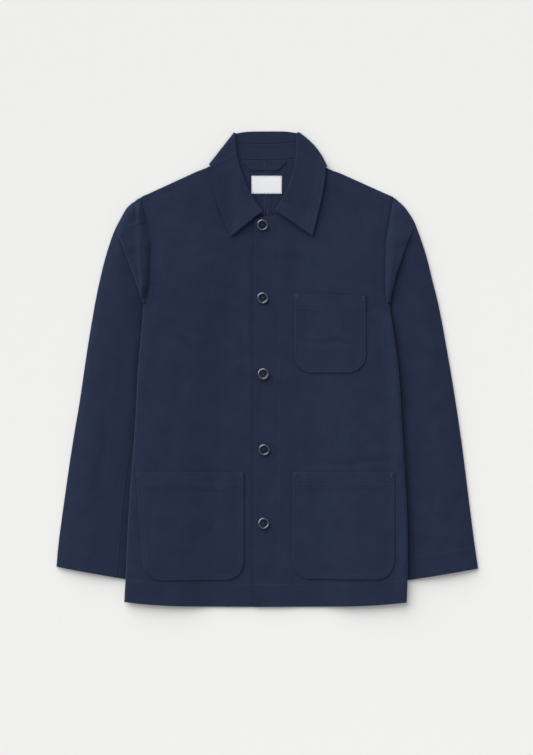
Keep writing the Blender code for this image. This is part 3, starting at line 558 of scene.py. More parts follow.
def numbered(rows, first_row=0, first_column=0):
    """Rows of points as a grid: {(row, column): point}."""
    return {(row, column): point for row, points in enumerate(rows, first_row)
            for column, point in enumerate(points, first_column)}


# -------- body

def coons(bottom, top, first, last):
    """A surface between four edges given as lists of (out, y)."""
    surface = {}
    for row, (start, end) in enumerate(zip(first, last)):
        up = row / (len(first) - 1)
        for column, (low, high) in enumerate(zip(bottom, top)):
            across = column / (len(bottom) - 1)
            point = []
            for axis in (0, 1):
                edges = mix(low[axis], high[axis], up) + mix(start[axis], end[axis], across)
                foot = mix(bottom[0][axis], bottom[-1][axis], across)
                head = mix(top[0][axis], top[-1][axis], across)
                point.append(edges - mix(foot, head, up))
            surface[row, column] = point
    return surface


def side_line(side, inset):
    """The panel's outer line from the hem to the shoulder."""
    hem_end = hem_height(side_edge(side, HEM_MIDDLE))
    line = [(BODY_SIDE.at(side, y) - inset, y) for y in steps(hem_end, UNDERARM, BODY_ROWS)]
    return line + [(ARMHOLE.at(side, y) - SEAM / 2, y) for y in ARMHOLE_ROWS[1:]]


def shoulder_line(side):
    """The shoulder seam from the armhole to the neck."""
    start = (ARMHOLE.at(side, ARMHOLE_ROWS[-1]) - SEAM / 2, ARMHOLE_ROWS[-1])
    fold = leaf_station(side, 0)
    neck = across_leaf(fold, sum(BACK_SEAM_OUT) + 2 * SEAM)
    out, y = across_leaf(fold, fold["width"] - NECK_TUCK)
    out += NECK_SHIFT * fold["across"].y
    y -= NECK_SHIFT * fold["across"].x
    return [(mix(start[0], out, share), mix(start[1], y, share))
            for share in steps(0, 1, FRONT_SHOULDER_CELLS - 1)] + [neck]


def fold_lift(index):
    """How much of the front's creases a fold keeps, index cells round it."""
    return 1 - smoothstep(0, FOLD_CELLS, index)


def folded_side(grid, rows, column, side, radius, foot_height):
    """Carries a panel round its side fold and back under it."""
    for row in range(rows + 1):
        out, y, z, lift = grid[row, column]
        end = side_edge(side, y) - SIDE_LEG
        path = half_turn((out, z), radius)
        for share in steps(0, 1, LEG_CELLS)[1:]:
            path.append((mix(out, end, share), foot_height))
        for index, (along, height) in enumerate(path, 1):
            grid[row, column + index] = (along, y, height, lift * fold_lift(index))


def framed(side, middle, top, inset):
    """A panel's surface below its top line, and its numbers of rows and columns."""
    last = side_line(side, inset)
    rows, columns = len(last) - 1, len(top) - 1
    bottom = [(out, hem_height(out)) for out in steps(middle, last[0][0], columns)]
    first = [(middle, y) for y in steps(bottom[0][1], top[0][1], rows)]
    return coons(bottom, top, first, last), rows, columns


def front_panel(side):
    edge_out = -LAP_EDGE if side == "left" else -LAP_UNDER
    shoulder = shoulder_line(side)
    neck = []
    for share in steps(0, 1, LEAF_CELLS)[1:]:
        station = leaf_station(side, share)
        neck.append(across_leaf(station, sum(station["seams"]) + 2 * SEAM))
    top_edge = [(mix(neck[-1][0], edge_out, share), mix(neck[-1][1], LAP_TOP, share))
                for share in steps(0, 1, FRONT_TOP_CELLS)[1:]]
    top = (shoulder + neck + top_edge)[::-1]
    surface, rows, columns = framed(side, edge_out, top, FRONT_INSET)
    grid = {}
    for (row, column), (out, y) in surface.items():
        height = front_height(side, out, y)
        if row == rows and column >= columns - FRONT_SHOULDER_CELLS:
            height = back_height(side, out, y) + CLOTH + SEAM
        grid[row, column] = (out, y, height, 1)
    folded_side(grid, BODY_ROWS, columns, side, FRONT_TURN, FLOOR_PLY + 2 * PLY)
    return grid


def back_panel(side):
    shoulder = shoulder_line(side)
    neck = []
    for share in steps(0, 1, BACK_NECK_CELLS)[1:]:
        station = back_station(mix(0 if side == "right" else 1, 0.5, share))
        out, y = across_leaf(station, sum(BACK_SEAM_OUT) + 2 * SEAM)
        neck.append((out * SIGN[side], y))
    neck[-1] = (SEAM / 2, neck[-1][1])
    top = (shoulder + neck)[::-1]
    surface, _, columns = framed(side, SEAM / 2, top, BACK_INSET)
    grid = {}
    for (row, column), (out, y) in surface.items():
        grid[row, column] = (out, y, back_height(side, out, y), 0)
    folded_side(grid, BODY_ROWS, columns, side, TURN, FLOOR_PLY + 3 * PLY)
    return grid


# -------- collar

def leaf_station(side, share):
    """A line across a front leaf, from the roll line to its outer edge."""
    table = LEAF[side]
    roll = (table.at("roll_out", share), table.at("roll_y", share))
    edge = (table.at("edge_out", share), table.at("edge_y", share))
    seams = [mix(back, front, smoothstep(0, 1, share))
             for back, front in zip(BACK_SEAM_OUT, FRONT_SEAM_OUT)]
    bow = FOLD_BOW[side] * (1 - smoothstep(0, FOLD_BOW_FRONT, share))
    return make_station(roll, edge, seams, bow)


def back_station(share):
    """A line across the leaf behind the neck, in x from right to left."""
    right = leaf_station("right", 0)
    left = leaf_station("left", 0)
    dip = 4 * share * (1 - share)
    level = 1 - (2 * share - 1) ** 4
    ends = []
    for line, rise in (("roll", ROLL_RISE * level), ("edge", -BACK_LEAF_DROP * dip)):
        ends.append((mix(-right[line][0], left[line][0], share),
                     mix(right[line][1], left[line][1], share) + rise))
    bow = FOLD_BOW["left"] * smoothstep(FOLD_BOW_BACK, 1, share)
    return make_station(*ends, BACK_SEAM_OUT, bow)


def make_station(roll, edge, seams, bow):
    line = Vector(edge) - Vector(roll)
    width = line.length
    return {"roll": roll, "edge": edge, "width": width, "across": line / width,
            "seams": seams, "bow": bow}


def across_leaf(station, distance):
    """The place a distance along the station's line from the roll line."""
    share = distance / station["width"]
    across = station["across"]
    sideways = Vector((-across.y, across.x)) * station["bow"] * 4 * share * (1 - share)
    point = Vector(station["roll"]) + across * distance + sideways
    return (point.x, point.y)


def collar_rings(place_row):
    """Walks the collar from its right front end round the neck to the left.

    place_row(station, side, angle) gives one row of points. angle is a half
    turn over at each side fold: 90 degrees on a front leaf, -90 behind.
    """
    rows = [place_row(leaf_station("right", share), "right", pi / 2)
            for share in steps(1, 0, LEAF_CELLS)]
    for angle in steps(pi / 2, -pi / 2, FOLD_CELLS)[1:-1]:
        rows.append(place_row(leaf_station("right", 0), "right", angle))
    for share in steps(0, 1, COLLAR_BACK_CELLS):
        rows.append(place_row(back_station(share), "behind", -pi / 2))
    for angle in steps(-pi / 2, pi / 2, FOLD_CELLS)[1:-1]:
        rows.append(place_row(leaf_station("left", 0), "left", angle))
    for share in steps(0, 1, LEAF_CELLS):
        rows.append(place_row(leaf_station("left", share), "left", pi / 2))
    return rows


def collar_point(station, side, angle, distance, shift, radius):
    """A point of the collar.

    distance runs from the roll line over the leaf, shift moves it beyond the
    roll line, and radius is how far it lies from the collar's middle layer.
    """
    out, y = across_leaf(station, distance)
    out -= station["across"].x * shift
    y -= station["across"].y * shift
    if side == "behind":
        return (out, y, COLLAR_MIDDLE - radius, 0)
    across = station["across"]
    outward = Vector((-across.y, across.x))
    reach = radius * cos(angle)
    x = SIGN[side] * (out + outward.x * reach)
    lift = smoothstep(-1, 1, sin(angle))
    return (x, y + outward.y * reach, COLLAR_MIDDLE + radius * sin(angle), lift)


def layer_radius(station, side, angle, distance, under):
    """How far the leaf, or the layer under it, lies from the middle layer."""
    if side == "behind" or abs(angle) < pi / 2 - FACING_UP:
        return STAND_RADIUS if under else LEAF_RADIUS
    out, y = across_leaf(station, distance)
    height = front_height(side, out, y)
    if side == "right" and not under:
        height += PLY * (1 - smoothstep(*LEAF_LAP, out))
    if not under:
        height += PLY
    return height - COLLAR_MIDDLE


def level_run(station, side, angle, distances, under):
    """Points of one layer of the collar, at distances from its roll line."""
    return [collar_point(station, side, angle, distance, 0,
                         layer_radius(station, side, angle, distance, under))
            for distance in distances]


def leaf_row(station, side, angle):
    """One line over the leaf, round the roll and back to the stand seam."""
    inset = TURN + CLOTH / 2
    leaf = steps(station["width"] - CLOTH / 2, inset, LEAF_ACROSS_CELLS)
    row = level_run(station, side, angle, leaf, False)
    upper = layer_radius(station, side, angle, inset, False)
    lower = layer_radius(station, side, angle, inset, True)
    for turn in steps(0, pi, FOLD_CELLS)[1:]:
        radius = mix(lower, upper, (1 + cos(turn)) / 2)
        row.append(collar_point(station, side, angle, inset, TURN * sin(turn), radius))
    under = steps(inset, station["seams"][0], SEAM_CELLS)[1:]
    return row + level_run(station, side, angle, under, True)


def stand_row(station, side, angle):
    """One line over the stand, from the leaf's seam to the neck seam."""
    start = station["seams"][0] + SEAM
    stand = steps(start, start + station["seams"][1], SEAM_CELLS)
    return level_run(station, side, angle, stand, True)


def collar(place_row):
    return numbered(collar_rings(place_row))


# -------- sleeves

def armhole_point(side, y, height_at, fold_inset):
    """A place on an armhole seam, on the straight runs between the rows."""
    for low, high in zip(ARMHOLE_ROWS, ARMHOLE_ROWS[1:]):
        if y <= high:
            break
    ends = []
    for end in (low, high):
        out = ARMHOLE.at(side, end) - SEAM / 2
        if end == UNDERARM:
            out = BODY_SIDE.at(side, end) - fold_inset
        ends.append((out, height_at(side, out, end)))
    share = (y - low) / (high - low)
    return mix(ends[0][0], ends[1][0], share) + SEAM, mix(ends[0][1], ends[1][1], share)


def pleat_row(side, y):
    """A level line over the sleeve head, from its seam to the pleat's end.

    Returns the cap's points before the pleat, the pleat's points from its edge
    on, each as (out, z), and the sleeve's outer fold as sleeve_edge gives it.
    """
    start_out, start_z = armhole_point(side, y, front_height, FRONT_INSET)
    outer, y_outer, normal = sleeve_edge(side, y - HEAD_SLANT * smoothstep(*HEAD_SLANT_FADE, y))
    pleat = PLEAT_START[side]
    sweep = pi * smoothstep(pleat, pleat - PLEAT_FULL, y)
    point = pleat - PLEAT_POINT
    under = max(PLEAT_LEAST, PLEAT_DEPTH * (point - y) / (point - UNDERARM))
    radius = mix(PLEAT_TURN, UNDERARM_TURN, smoothstep(*PLEAT_TURN_FADE, y))
    room = min(1, (outer - start_out) / HEAD_ROOM)
    folded = mix(PLEAT_BUD, 1, sweep / pi) * pi * room
    lengths = (radius * folded, under * room, PLEAT_TURN * folded)
    path = trace_pleat(sweep, lengths)
    advance, drop = path[-1]
    edge = PLEAT_EDGE.at(side, y) - CLOTH / 2 - radius * smoothstep(0, pi, sweep)
    edge = min(edge, outer - PLEAT_CLEAR * room - advance)
    edge = max(edge, start_out + CAP_LEAST)
    top_z = head_level(y) - drop
    cap = []
    for share in steps(0, 1, CAP_CELLS)[:-1]:
        height = mix(start_z, top_z, smoothstep(0, 1, share))
        cap.append((mix(start_out, edge, share), height))
    pleated = [(edge + along, top_z + z) for along, z in path]
    return cap, [(edge, top_z)] + pleated, (outer, y_outer, normal)


def sleeve_edge(side, y):
    """Middle of the sleeve's outer fold, and the way out from it."""
    slope = (SLEEVE_OUT.at(side, y + 1) - SLEEVE_OUT.at(side, y - 1)) / 2
    normal = Vector((1, -slope)).normalized()
    inset = CLOTH / 2 + SLEEVE_TURN
    return SLEEVE_OUT.at(side, y) - inset * normal.x, y - inset * normal.y, normal


def head_level(y):
    """Middle of the sleeve's front just outside the pleat."""
    return mix(SLEEVE_PLY, FLOOR_PLY + 2 * SLEEVE_TURN, smoothstep(*HEAD_LEVEL_FADE, y))


def trace_pleat(sweep, lengths):
    """Turns down through sweep, runs straight, and turns level again."""
    along = z = heading = 0.0
    points = []
    turns = (sweep, 0, -sweep)
    counts = (PLEAT_TURN_CELLS, PLEAT_FLAT_CELLS, PLEAT_TURN_CELLS)
    for length, turn, cells in zip(lengths, turns, counts):
        step = length / cells
        for _ in range(cells):
            heading += turn / cells / 2
            along += step * cos(heading)
            z -= step * sin(heading)
            heading += turn / cells / 2
            points.append((along, z))
    return points


def sleeve_share_row(side, share):
    """Ends of a line across the lower sleeve, share of its length down."""
    inner_y = mix(SLEEVE_HEAD_ROWS[-1], CUFF_INNER[side], share)
    outer_y = mix(SLEEVE_HEAD_ROWS[-1], CUFF_OUTER[side], share)
    inner = SLEEVE_LENGTH.at("fold_" + side, share)
    outer = SLEEVE_OUT.at(side, outer_y) - CLOTH / 2 - SLEEVE_TURN
    return inner, inner_y, outer, outer_y


def on_row(ends, out):
    inner, inner_y, outer, outer_y = ends
    return mix(inner_y, outer_y, (out - inner) / (outer - inner))


def sleeve_level(side, out, y, start, outer):
    """Middle of the lower sleeve's front, proud between body and outer edge."""
    low, level = start
    inner = side_edge(side, min(y, UNDERARM)) + SLEEVE_CLEAR
    share = min(1, max(0, (out - inner) / (outer - inner)))
    climb = smoothstep(low, outer, out)
    edge = FLOOR_PLY + 2 * SLEEVE_TURN
    puff = SLEEVE_PUFF * smoothstep(*SLEEVE_PUFF_FADE, y)
    return mix(level, edge, climb) + puff * sin(pi * share) ** 2


def elbow_out(side, y):
    """The elbow seam behind the sleeve head, where the under sleeve starts."""
    outer = SLEEVE_OUT.at(side, y)
    seam = armhole_point(side, y, back_height, BACK_INSET)[0]
    if y > BEHIND_TOP:
        return seam
    underarm_out = outer - SLEEVE_LENGTH.at("elbow", 0)
    return mix(seam + BEHIND_START, underarm_out, (BEHIND_TOP - y) / (BEHIND_TOP - UNDERARM))


def behind_height(side, out, y, edge):
    """Under layer of the sleeve head: it climbs to the back's armhole."""
    seam, height = armhole_point(side, y, back_height, BACK_INSET)
    climb = smoothstep(*BEHIND_CLIMB, y) * smoothstep(edge, seam, out)
    return FLOOR_PLY + (height - FLOOR_PLY) * climb


def plain_head(start, end, cells):
    """The sleeve's front above the pleat, evenly from the seam to the fold."""
    points = []
    for share in steps(0, 1, cells):
        rise = smoothstep(0, HEAD_RISE, share)
        points.append((mix(start[0], end[0], share), mix(start[1], end[1], rise)))
    return points


def cap_loft(side, y, column):
    """How far the cap stands off the pleat, by cells from the seam."""
    loft = CAP_LOFT[side] * smoothstep(*CAP_LOFT_FADE, y)
    loft *= smoothstep(0, CAP_LOFT_CELLS[side], column)
    loft *= 1 - CAP_SAG[side] * smoothstep(0, CAP_CELLS, column)
    return loft * (1 - smoothstep(CAP_CELLS, CAP_CELLS + PLEAT_TURN_CELLS, column))


def head_row(side, y):
    """A line round the sleeve head, from the front's seam to the elbow seam."""
    cap, pleated, (outer, y_outer, normal) = pleat_row(side, y)
    start = cap[0][0]
    tuck_end = pleated[-1][0]
    points = cap + pleated
    for out in steps(tuck_end, outer, LOWER_CELLS)[1:]:
        points.append((out, sleeve_level(side, out, y, pleated[-1], outer)))
    if y > PLEAT_START[side] + PLAIN_HEAD:
        points = plain_head(cap[0], (outer, head_level(y)), len(points) - 1)
    row = []
    for column, (out, z) in enumerate(points):
        share = (out - start) / (outer - start)
        bow = HEAD_BOW * sin(pi * share) if y == SLEEVE_HEAD_ROWS[0] else 0.0
        height = z + cap_loft(side, y, column)
        row.append((out, mix(y, y_outer, share) + bow, height, 1))
    for index, (reach, z) in enumerate(half_turn((0, points[-1][1]), SLEEVE_TURN), 1):
        place = Vector((outer, y_outer)) + normal * reach
        row.append((*place, z, fold_lift(index)))
    elbow = elbow_out(side, y)
    for out in steps(outer, elbow, BEHIND_CELLS)[1:]:
        height = behind_height(side, out, y, tuck_end - TUCK_CLIMB)
        row.append((out, mix(y, y_outer, (out - elbow) / (outer - elbow)), height, 0))
    return row


def arm_row(side, share):
    """A line round the lower sleeve, from the forearm seam to the elbow seam."""
    ends = sleeve_share_row(side, share)
    outer = ends[2]
    forearm = SLEEVE_LENGTH.at("forearm_" + side, share) + SEAM
    start = (side_edge(side, on_row(ends, forearm)) + SLEEVE_CLEAR, SLEEVE_PLY)
    points = []
    for out in steps(forearm, outer, LOWER_CELLS):
        level = sleeve_level(side, out, on_row(ends, out), start, outer)
        points.append((out, level, 1))
    for index, (out, z) in enumerate(half_turn(points[-1][:2], SLEEVE_TURN), 1):
        points.append((out, z, fold_lift(index)))
    elbow = outer - SLEEVE_LENGTH.at("elbow", share) + SEAM
    for out in steps(outer, elbow, BEHIND_CELLS)[1:]:
        points.append((out, FLOOR_PLY, 0))
    return [(out, on_row(ends, out), z, lift) for out, z, lift in points]


def top_sleeve(side):
    grid = numbered([head_row(side, y) for y in SLEEVE_HEAD_ROWS])
    arm = [arm_row(side, row / SLEEVE_ROWS) for row in range(1, SLEEVE_ROWS + 1)]
    grid.update(numbered(arm, len(SLEEVE_HEAD_ROWS), CAP_CELLS + PLEAT_CELLS))
    return grid


def under_sleeve(side):
    rows = []
    for y in [level for level in SLEEVE_HEAD_ROWS if level <= BEHIND_TOP]:
        _, pleated, _ = pleat_row(side, y)
        elbow = elbow_out(side, y) - SEAM
        tuck = min(out for out, z in pleated[-TUCK_POINTS:]) - CLOTH / 2
        seam = armhole_point(side, y, back_height, BACK_INSET)[0]
        folded = tuck - TUCK_OUT < seam - UNDER_REACH
        inner = tuck - TUCK_OUT if folded else seam
        points = [(out, FLOOR_PLY, 0) for out in steps(elbow, inner, BOTTOM_CELLS)]
        if folded:
            points += turn_inner(inner, tuck - TUCK_GAP)
        shift = 0 if rows else SEAM
        rows.append([(out, y - shift, z, lift) for out, z, lift in points])
    for index in range(1, SLEEVE_ROWS + 1):
        share = index / SLEEVE_ROWS
        ends = sleeve_share_row(side, share)
        elbow = ends[2] - SLEEVE_LENGTH.at("elbow", share) - SEAM / 2
        forearm = SLEEVE_LENGTH.at("forearm_" + side, share) - SEAM / 2
        points = [(out, FLOOR_PLY, 0) for out in steps(elbow, ends[0], BOTTOM_CELLS)]
        points += turn_inner(ends[0], forearm)
        rows.append([(out, on_row(ends, out), z, lift) for out, z, lift in points])
    return numbered(rows)


def turn_inner(inner, end):
    """From the table layer round the inner fold and out on the upper layer."""
    points = []
    for index, angle in enumerate(steps(0, pi, FOLD_CELLS)[1:], 1):
        height = FLOOR_PLY + TURN * (1 - cos(angle))
        points.append((inner - TURN * sin(angle), height, 1 - fold_lift(index)))
    for out in steps(inner, end, SEAM_CELLS)[1:]:
        points.append((out, SLEEVE_PLY, 1))
    return points


# -------- on the body

def pocket_half(shape):
    return (shape["right"] - shape["left"]) / 2


def pocket_place(shape, across, up, half):
    """A place on a patch pocket, up mm above its foot.

    across is -1 to 1 over a half width on each side of the pocket's middle.
    """
    height = shape["top"] - shape["foot"]
    x = (shape["left"] + shape["right"]) / 2 + across * half
    if across < 0:
        x -= shape["lean"] * (1 - up / height) * across
    return x, shape["foot"] + up + shape["slope"] * (x - shape["left"]) * up / height


def rounded_half(shape, up):
    """A pocket's half width, which its round corners draw in near the foot."""
    below = max(0, POCKET_CORNER - up)
    return pocket_half(shape) - POCKET_CORNER + (POCKET_CORNER ** 2 - below ** 2) ** 0.5


def pocket(shape):
    """A patch on a front: rows follow its round foot, columns its width."""
    turns = steps(POCKET_FOOT_ANGLE, pi / 2, POCKET_FOOT_CELLS)[1:]
    levels = [POCKET_FOOT] + [POCKET_CORNER * (1 - cos(angle)) for angle in turns]
    levels += steps(POCKET_CORNER, shape["top"] - shape["foot"], POCKET_ROWS)[1:]
    grid = {}
    for row, up in enumerate(levels):
        for column, across in enumerate(steps(-1, 1, POCKET_CELLS)):
            x, y = pocket_place(shape, across, up, rounded_half(shape, up))
            grid[row, column] = (x, y, front_height_at(x, y) + PLY + POCKET_CLEAR, 1)
    return grid


def neck_label():
    """A blank woven label inside the back neck."""
    grid = {}
    for row, y in enumerate(steps(*LABEL_HEIGHTS, LABEL_CELLS[0])):
        for column, x in enumerate(steps(*LABEL_SIDES, LABEL_CELLS[1])):
            side = "left" if x >= 0 else "right"
            height = back_height(side, abs(x), y) + CLOTH / 2 + SEAM + LABEL_WALL / 2
            grid[row, column] = (x, y, height, 0)
    return grid


def hanger_loop():
    """A narrow strip that hangs in a shallow bow below the neck seam."""
    grid = {}
    for column, share in enumerate(steps(0, 1, LOOP_CELLS)):
        x = mix(*LOOP_ENDS, share)
        ends = min(share, 1 - share)
        bow = LOOP_BOW * smoothstep(0, LOOP_BEND, ends)
        for row, offset in enumerate((-LOOP_WIDTH / 2, LOOP_WIDTH / 2)):
            grid[row, column] = (x, LOOP_TOP - bow + offset, FLOOR_PLY + 2 * PLY, 0)
    return grid


# -------- fine cloth

def smooth_line(points, counts):
    """Points along a soft curve through a run of points, counts[i] to a stretch."""
    lengths = [max(LEAST_LENGTH, (far - near).length) for near, far in zip(points, points[1:])]
    ways = []
    for index in range(len(points)):
        low = max(0, index - 1)
        high = min(len(points) - 1, index + 1)
        ways.append((points[high] - points[low]) / sum(lengths[low:high]))
    line = [points[0]]
    for index, count in enumerate(counts):
        start, end = points[index], points[index + 1]
        way_in, way_out = ways[index] * lengths[index], ways[index + 1] * lengths[index]
        for cell in range(1, count + 1):
            share = cell / count
            rest = 1 - share
            line.append(
                start * (rest * rest * (1 + 2 * share)) + way_in * (share * rest * rest)
                + end * (share * share * (3 - 2 * share)) - way_out * (share * share * rest))
    return line


def runs(present):
    """Stretches of neighbouring indices, as lists."""
    found = []
    for index in sorted(present):
        if found and found[-1][-1] == index - 1:
            found[-1].append(index)
        else:
            found.append([index])
    return [run for run in found if len(run) > 1]


def cell_counts(grid, axis, cell):
    """Fine cells for each stretch of the grid along an axis, of about a size."""
    longest = {}
    for key, point in grid.items():
        after = (key[0] + 1, key[1]) if axis == 0 else (key[0], key[1] + 1)
        if after in grid:
            length = (grid[after] - point).length
            longest.setdefault(key[axis], []).append(length)
    counts = {}
    for index, lengths in longest.items():
        typical = sorted(lengths)[len(lengths) * 3 // 4]
        counts[index] = max(LEAST_CELLS, round(typical / cell))
    return counts


def finer(grid, cell):
    """The same surface with small cells, as {(row, column): point}."""
    grid = {key: Vector(point) for key, point in grid.items()}
    across = cell_counts(grid, 1, cell)
    down = cell_counts(grid, 0, cell)
    for axis, counts in ((1, across), (0, down)):
        starts = {}
        total = 0
        for index in range(max(counts) + 2):
            starts[index] = total
            total += counts.get(index, 0)
        lines = {}
        for key in grid:
            lines.setdefault(key[1 - axis], []).append(key[axis])
        fine = {}
        for line, present in lines.items():
            for run in runs(present):
                keys = [(line, index) if axis == 1 else (index, line) for index in run]
                points = smooth_line([grid[key] for key in keys],
                                     [counts[index] for index in run[:-1]])
                for step, point in enumerate(points):
                    place = starts[run[0]] + step
                    fine[(line, place) if axis == 1 else (place, line)] = point
        grid = fine
    return grid


def weave_places(name, table):
    """Places on the flat cloth, in metres: across its ends and along them."""
    turn = radians(GRAIN.get(name, 0))
    across = table[:, 0] + table[:, 2]
    along = table[:, 1] + table[:, 2] / 2
    return (MM * (across * cos(turn) + along * sin(turn)),
            MM * (along * cos(turn) - across * sin(turn)))


def cloth_mesh(keys, table, weave):
    """A grid with a vertex for each (row, column) key, where its table row says."""
    rows = max(row for row, column in keys)
    columns = max(column for row, column in keys)
    numbers = {row * (columns + 1) + column: number for number, (row, column) in enumerate(keys)}
    bm = bmesh.new()
    bmesh.ops.create_grid(bm, x_segments=columns, y_segments=rows, size=1)
    bm.verts.index_update()
    empty = [vertex for vertex in bm.verts if vertex.index not in numbers]
    for vertex in bm.verts:
        if vertex.index in numbers:
            vertex.co = Vector(table[numbers[vertex.index]][:3]) * MM
    layer = bm.loops.layers.uv.new("weave")
    for face in bm.faces:
        for loop in face.loops:
            number = numbers.get(loop.vert.index, 0)
            loop[layer].uv = (weave[0][number], weave[1][number])
    bmesh.ops.delete(bm, geom=empty, context="VERTS")
    bmesh.ops.recalc_face_normals(bm, faces=bm.faces[:])
    return bm


def make_cloth(name, side, grid, crease, cell, wall=CLOTH):
    """One piece of cloth on the frame's form, with its creases and its wall."""
    fine = finer(grid, cell)
    keys = sorted(fine)
    table = np.array([fine[key] for key in keys])
    table[:, 0] *= SIGN[side]
    upper, lower = relief(name, table[:, 0], table[:, 1])
    table[:, 2] += crease * (table[:, 3] * upper + lower)
    obj = add_piece(name + "_cloth", cloth_mesh(keys, table, weave_places(name, table)))
    wall_maker = obj.modifiers.new("wall", "SOLIDIFY")
    wall_maker.thickness = wall * MM
    wall_maker.offset = 0.0
    wall_maker.use_quality_normals = True
    edge_maker = obj.modifiers.new("folded edge", "BEVEL")
    edge_maker.width = EDGE_ROUND * wall * MM
    edge_maker.segments = 2
    edge_maker.limit_method = "ANGLE"
    edge_maker.angle_limit = radians(EDGE_ANGLE)
    return obj


def add_piece(name, bm):
    mesh = bpy.data.meshes.new(name)
    bm.to_mesh(mesh)
    bm.free()
    mesh.shade_smooth()
    obj = bpy.data.objects.new(name, mesh)
    bpy.context.scene.collection.objects.link(obj)
    return obj


# -------- creases

# Creases of the body's front: x1, y1, x2, y2, half width and height.
BODY_CREASES = (
    (-122, 216, -70, 184, 8, -0.8), (-150, 236, -118, 214, 9, 0.5),
    (-162, 84, -104, 51, 8, -0.9), (-150, 66, -112, 40, 7, 0.5),
    (-36, 195, -28, 125, 5, 0.6), (-34, 110, -33, 30, 5.5, 0.7),
    (-44, 60, -30, -60, 6, -0.4), (-178, 22, -120, 8, 10, 0.5),
    (-190, 118, -158, 96, 6, -0.6), (-186, 66, -160, 48, 7, -0.4),
    (-182, -80, -166, -165, 8, 0.6), (-150, -60, -138, -140, 12, -0.5),
    (-76, -246, -122, -292, 7, -0.6), (-92, -232, -140, -266, 9, 0.4),
    (60, -158, 206, -149, 5, -0.8), (110, -148, 206, -136, 7, 0.5),
    (96, -60, 150, -96, 12, -0.5), (186, 110, 160, 88, 6, -0.6),
    (190, 62, 172, 20, 8, 0.5), (52, 47, 92, 45.5, 4, -0.8),
    (88, 46, 148, 41, 4.5, -0.9), (60, 54, 142, 51, 5, 0.5),
    (120, 232, 164, 204, 9, -0.5), (60, -214, 190, -222, 10, 0.4),
    (80, -300, 160, -268, 12, -0.4), (-200, -200, -196, -330, 6, 0.6),
    (212, -60, 214, -300, 6, 0.5), (-200, 60, -206, -60, 6, 0.6),
)

# Creases of the sleeves' fronts, with the same columns.
SLEEVE_CREASES = (
    (-203, 252, -214, 246, 3, -0.7), (-204, 226, -212, 218, 3, -0.5),
    (-236, 238, -250, 222, 3.5, -0.5), (-244, 205, -262, 190, 4, -0.5),
    (206, 236, 216, 224, 3, -0.5), (238, 216, 252, 196, 4, -0.5),
    (-296, -20, -268, -60, 9, -0.8), (-306, -60, -270, -112, 10, 0.6),
    (-290, -140, -262, -180, 9, -0.6), (-300, 40, -290, -230, 13, 0.8),
    (-262, 60, -272, -250, 9, -0.7), (300, 20, 286, -40, 10, -0.7),
    (282, -90, 312, -140, 10, 0.6), (270, -60, 276, -260, 9, -0.7),
    (304, 30, 318, -250, 14, 0.7), (330, -182, 300, -262, 8, -0.9),
    (316, -226, 286, -286, 7, 0.6), (-322, -230, -330, -290, 7, 0.5),
)

# Hollows under the jacket, where its back stands off the table, as creases.
UNDER_CREASES = (
    (-70, 210, 66, 190, 8, 0.8), (-96, 120, -30, 96, 9, 0.9),
    (22, 132, 100, 88, 9, 0.9), (-60, 10, 40, -14, 11, 0.8),
    (58, -60, 66, -250, 9, 0.8), (-74, -80, -62, -280, 10, 0.9),
    (-20, -170, 34, -196, 9, 0.7), (-262, 60, -284, -30, 7, 0.8),
    (-270, -120, -300, -180, 8, 0.8), (262, 90, 276, 0, 7, 0.8),
    (272, -80, 302, -150, 8, 0.9),
)

# The ridge that the sleeve head's fullness makes beside the armhole.
CAP_RIDGE = Table(
    ("y", "right", "left"),
    (140, 207, 206),
    (180, 212, 210),
    (275, 214.5, 213),
)
CAP_RIDGE_HEIGHT = {"right": 4.3, "left": 1.0}
CAP_RIDGE_START = (0.3, 4)
CAP_RIDGE_SIDE = 3.4  # it runs out over this on both sides

# Air under the front: its least height, its crown, and where that rises and ends.
BODY_AIR = 1.1
BODY_CROWN = 2.3
BODY_CROWN_INWARD = (150, 35)
BODY_CROWN_FADE = (330, 200)
BODY_LEAST = 0.15  # the front's cloth never lies lower than this
SIDE_ROOM = {"right": 0.6, "left": 2.8}  # share of the creases at the body's sides
SIDE_ROOM_FADE = (0, 26)
SIDE_ROOM_POWER = 0.7
SHOULDER_ROOM_FADE = (1, 26)
HEM_ROOM = 0.4  # share of the creases at the hem
HEM_ROOM_FADE = (0, 70)
ARMHOLE_FADE = (UNDERARM - 50, UNDERARM + 10)
ARMHOLE_STEP = (UNDERARM, UNDERARM + 32)
ARMHOLE_NEAR = (UNDERARM - 20, 220)  # from this height up, and this far out at most
ARMHOLE_NEAR_FADE = (0, 3)

# Air in the sleeves and the fullness of their heads.
SLEEVE_ROUND = 5  # power of the sleeve's round edges
SLEEVE_HEAD_FADE = (284, 262)
SLEEVE_AWAY = (0, 0.12)  # creases start over this share of the sleeve's width
SLEEVE_AWAY_OUTER = (0, 14)
SLEEVE_LIFT = 0.6
HEAD_BULGE = 3
HEAD_BULGE_OUTER = (0, 16)
HEAD_BULGE_SEAM = (0, 22)
HEAD_BULGE_FADE = (200, 236)
CAP_SEAM_FADE = (UNDERARM, UNDERARM + 30)
CUFF_OUT = (200, 350)  # the cuff's line, as out and y
CUFF_Y = (-352, -326)

# Turned cloth is this much thicker up to its row of stitches.
HEM_TURNED = 0.45
CUFF_TURNED = 0.4
POCKET_TURNED = 0.4
TURNED_SOFT = (-1.5, 1.5)
POCKET_TURNED_SOFT = (-1, 1.5)
FACING_PUCKER_FADE = (255, 235)
SHOULDER_PUCKER_FADE = (1, 5)

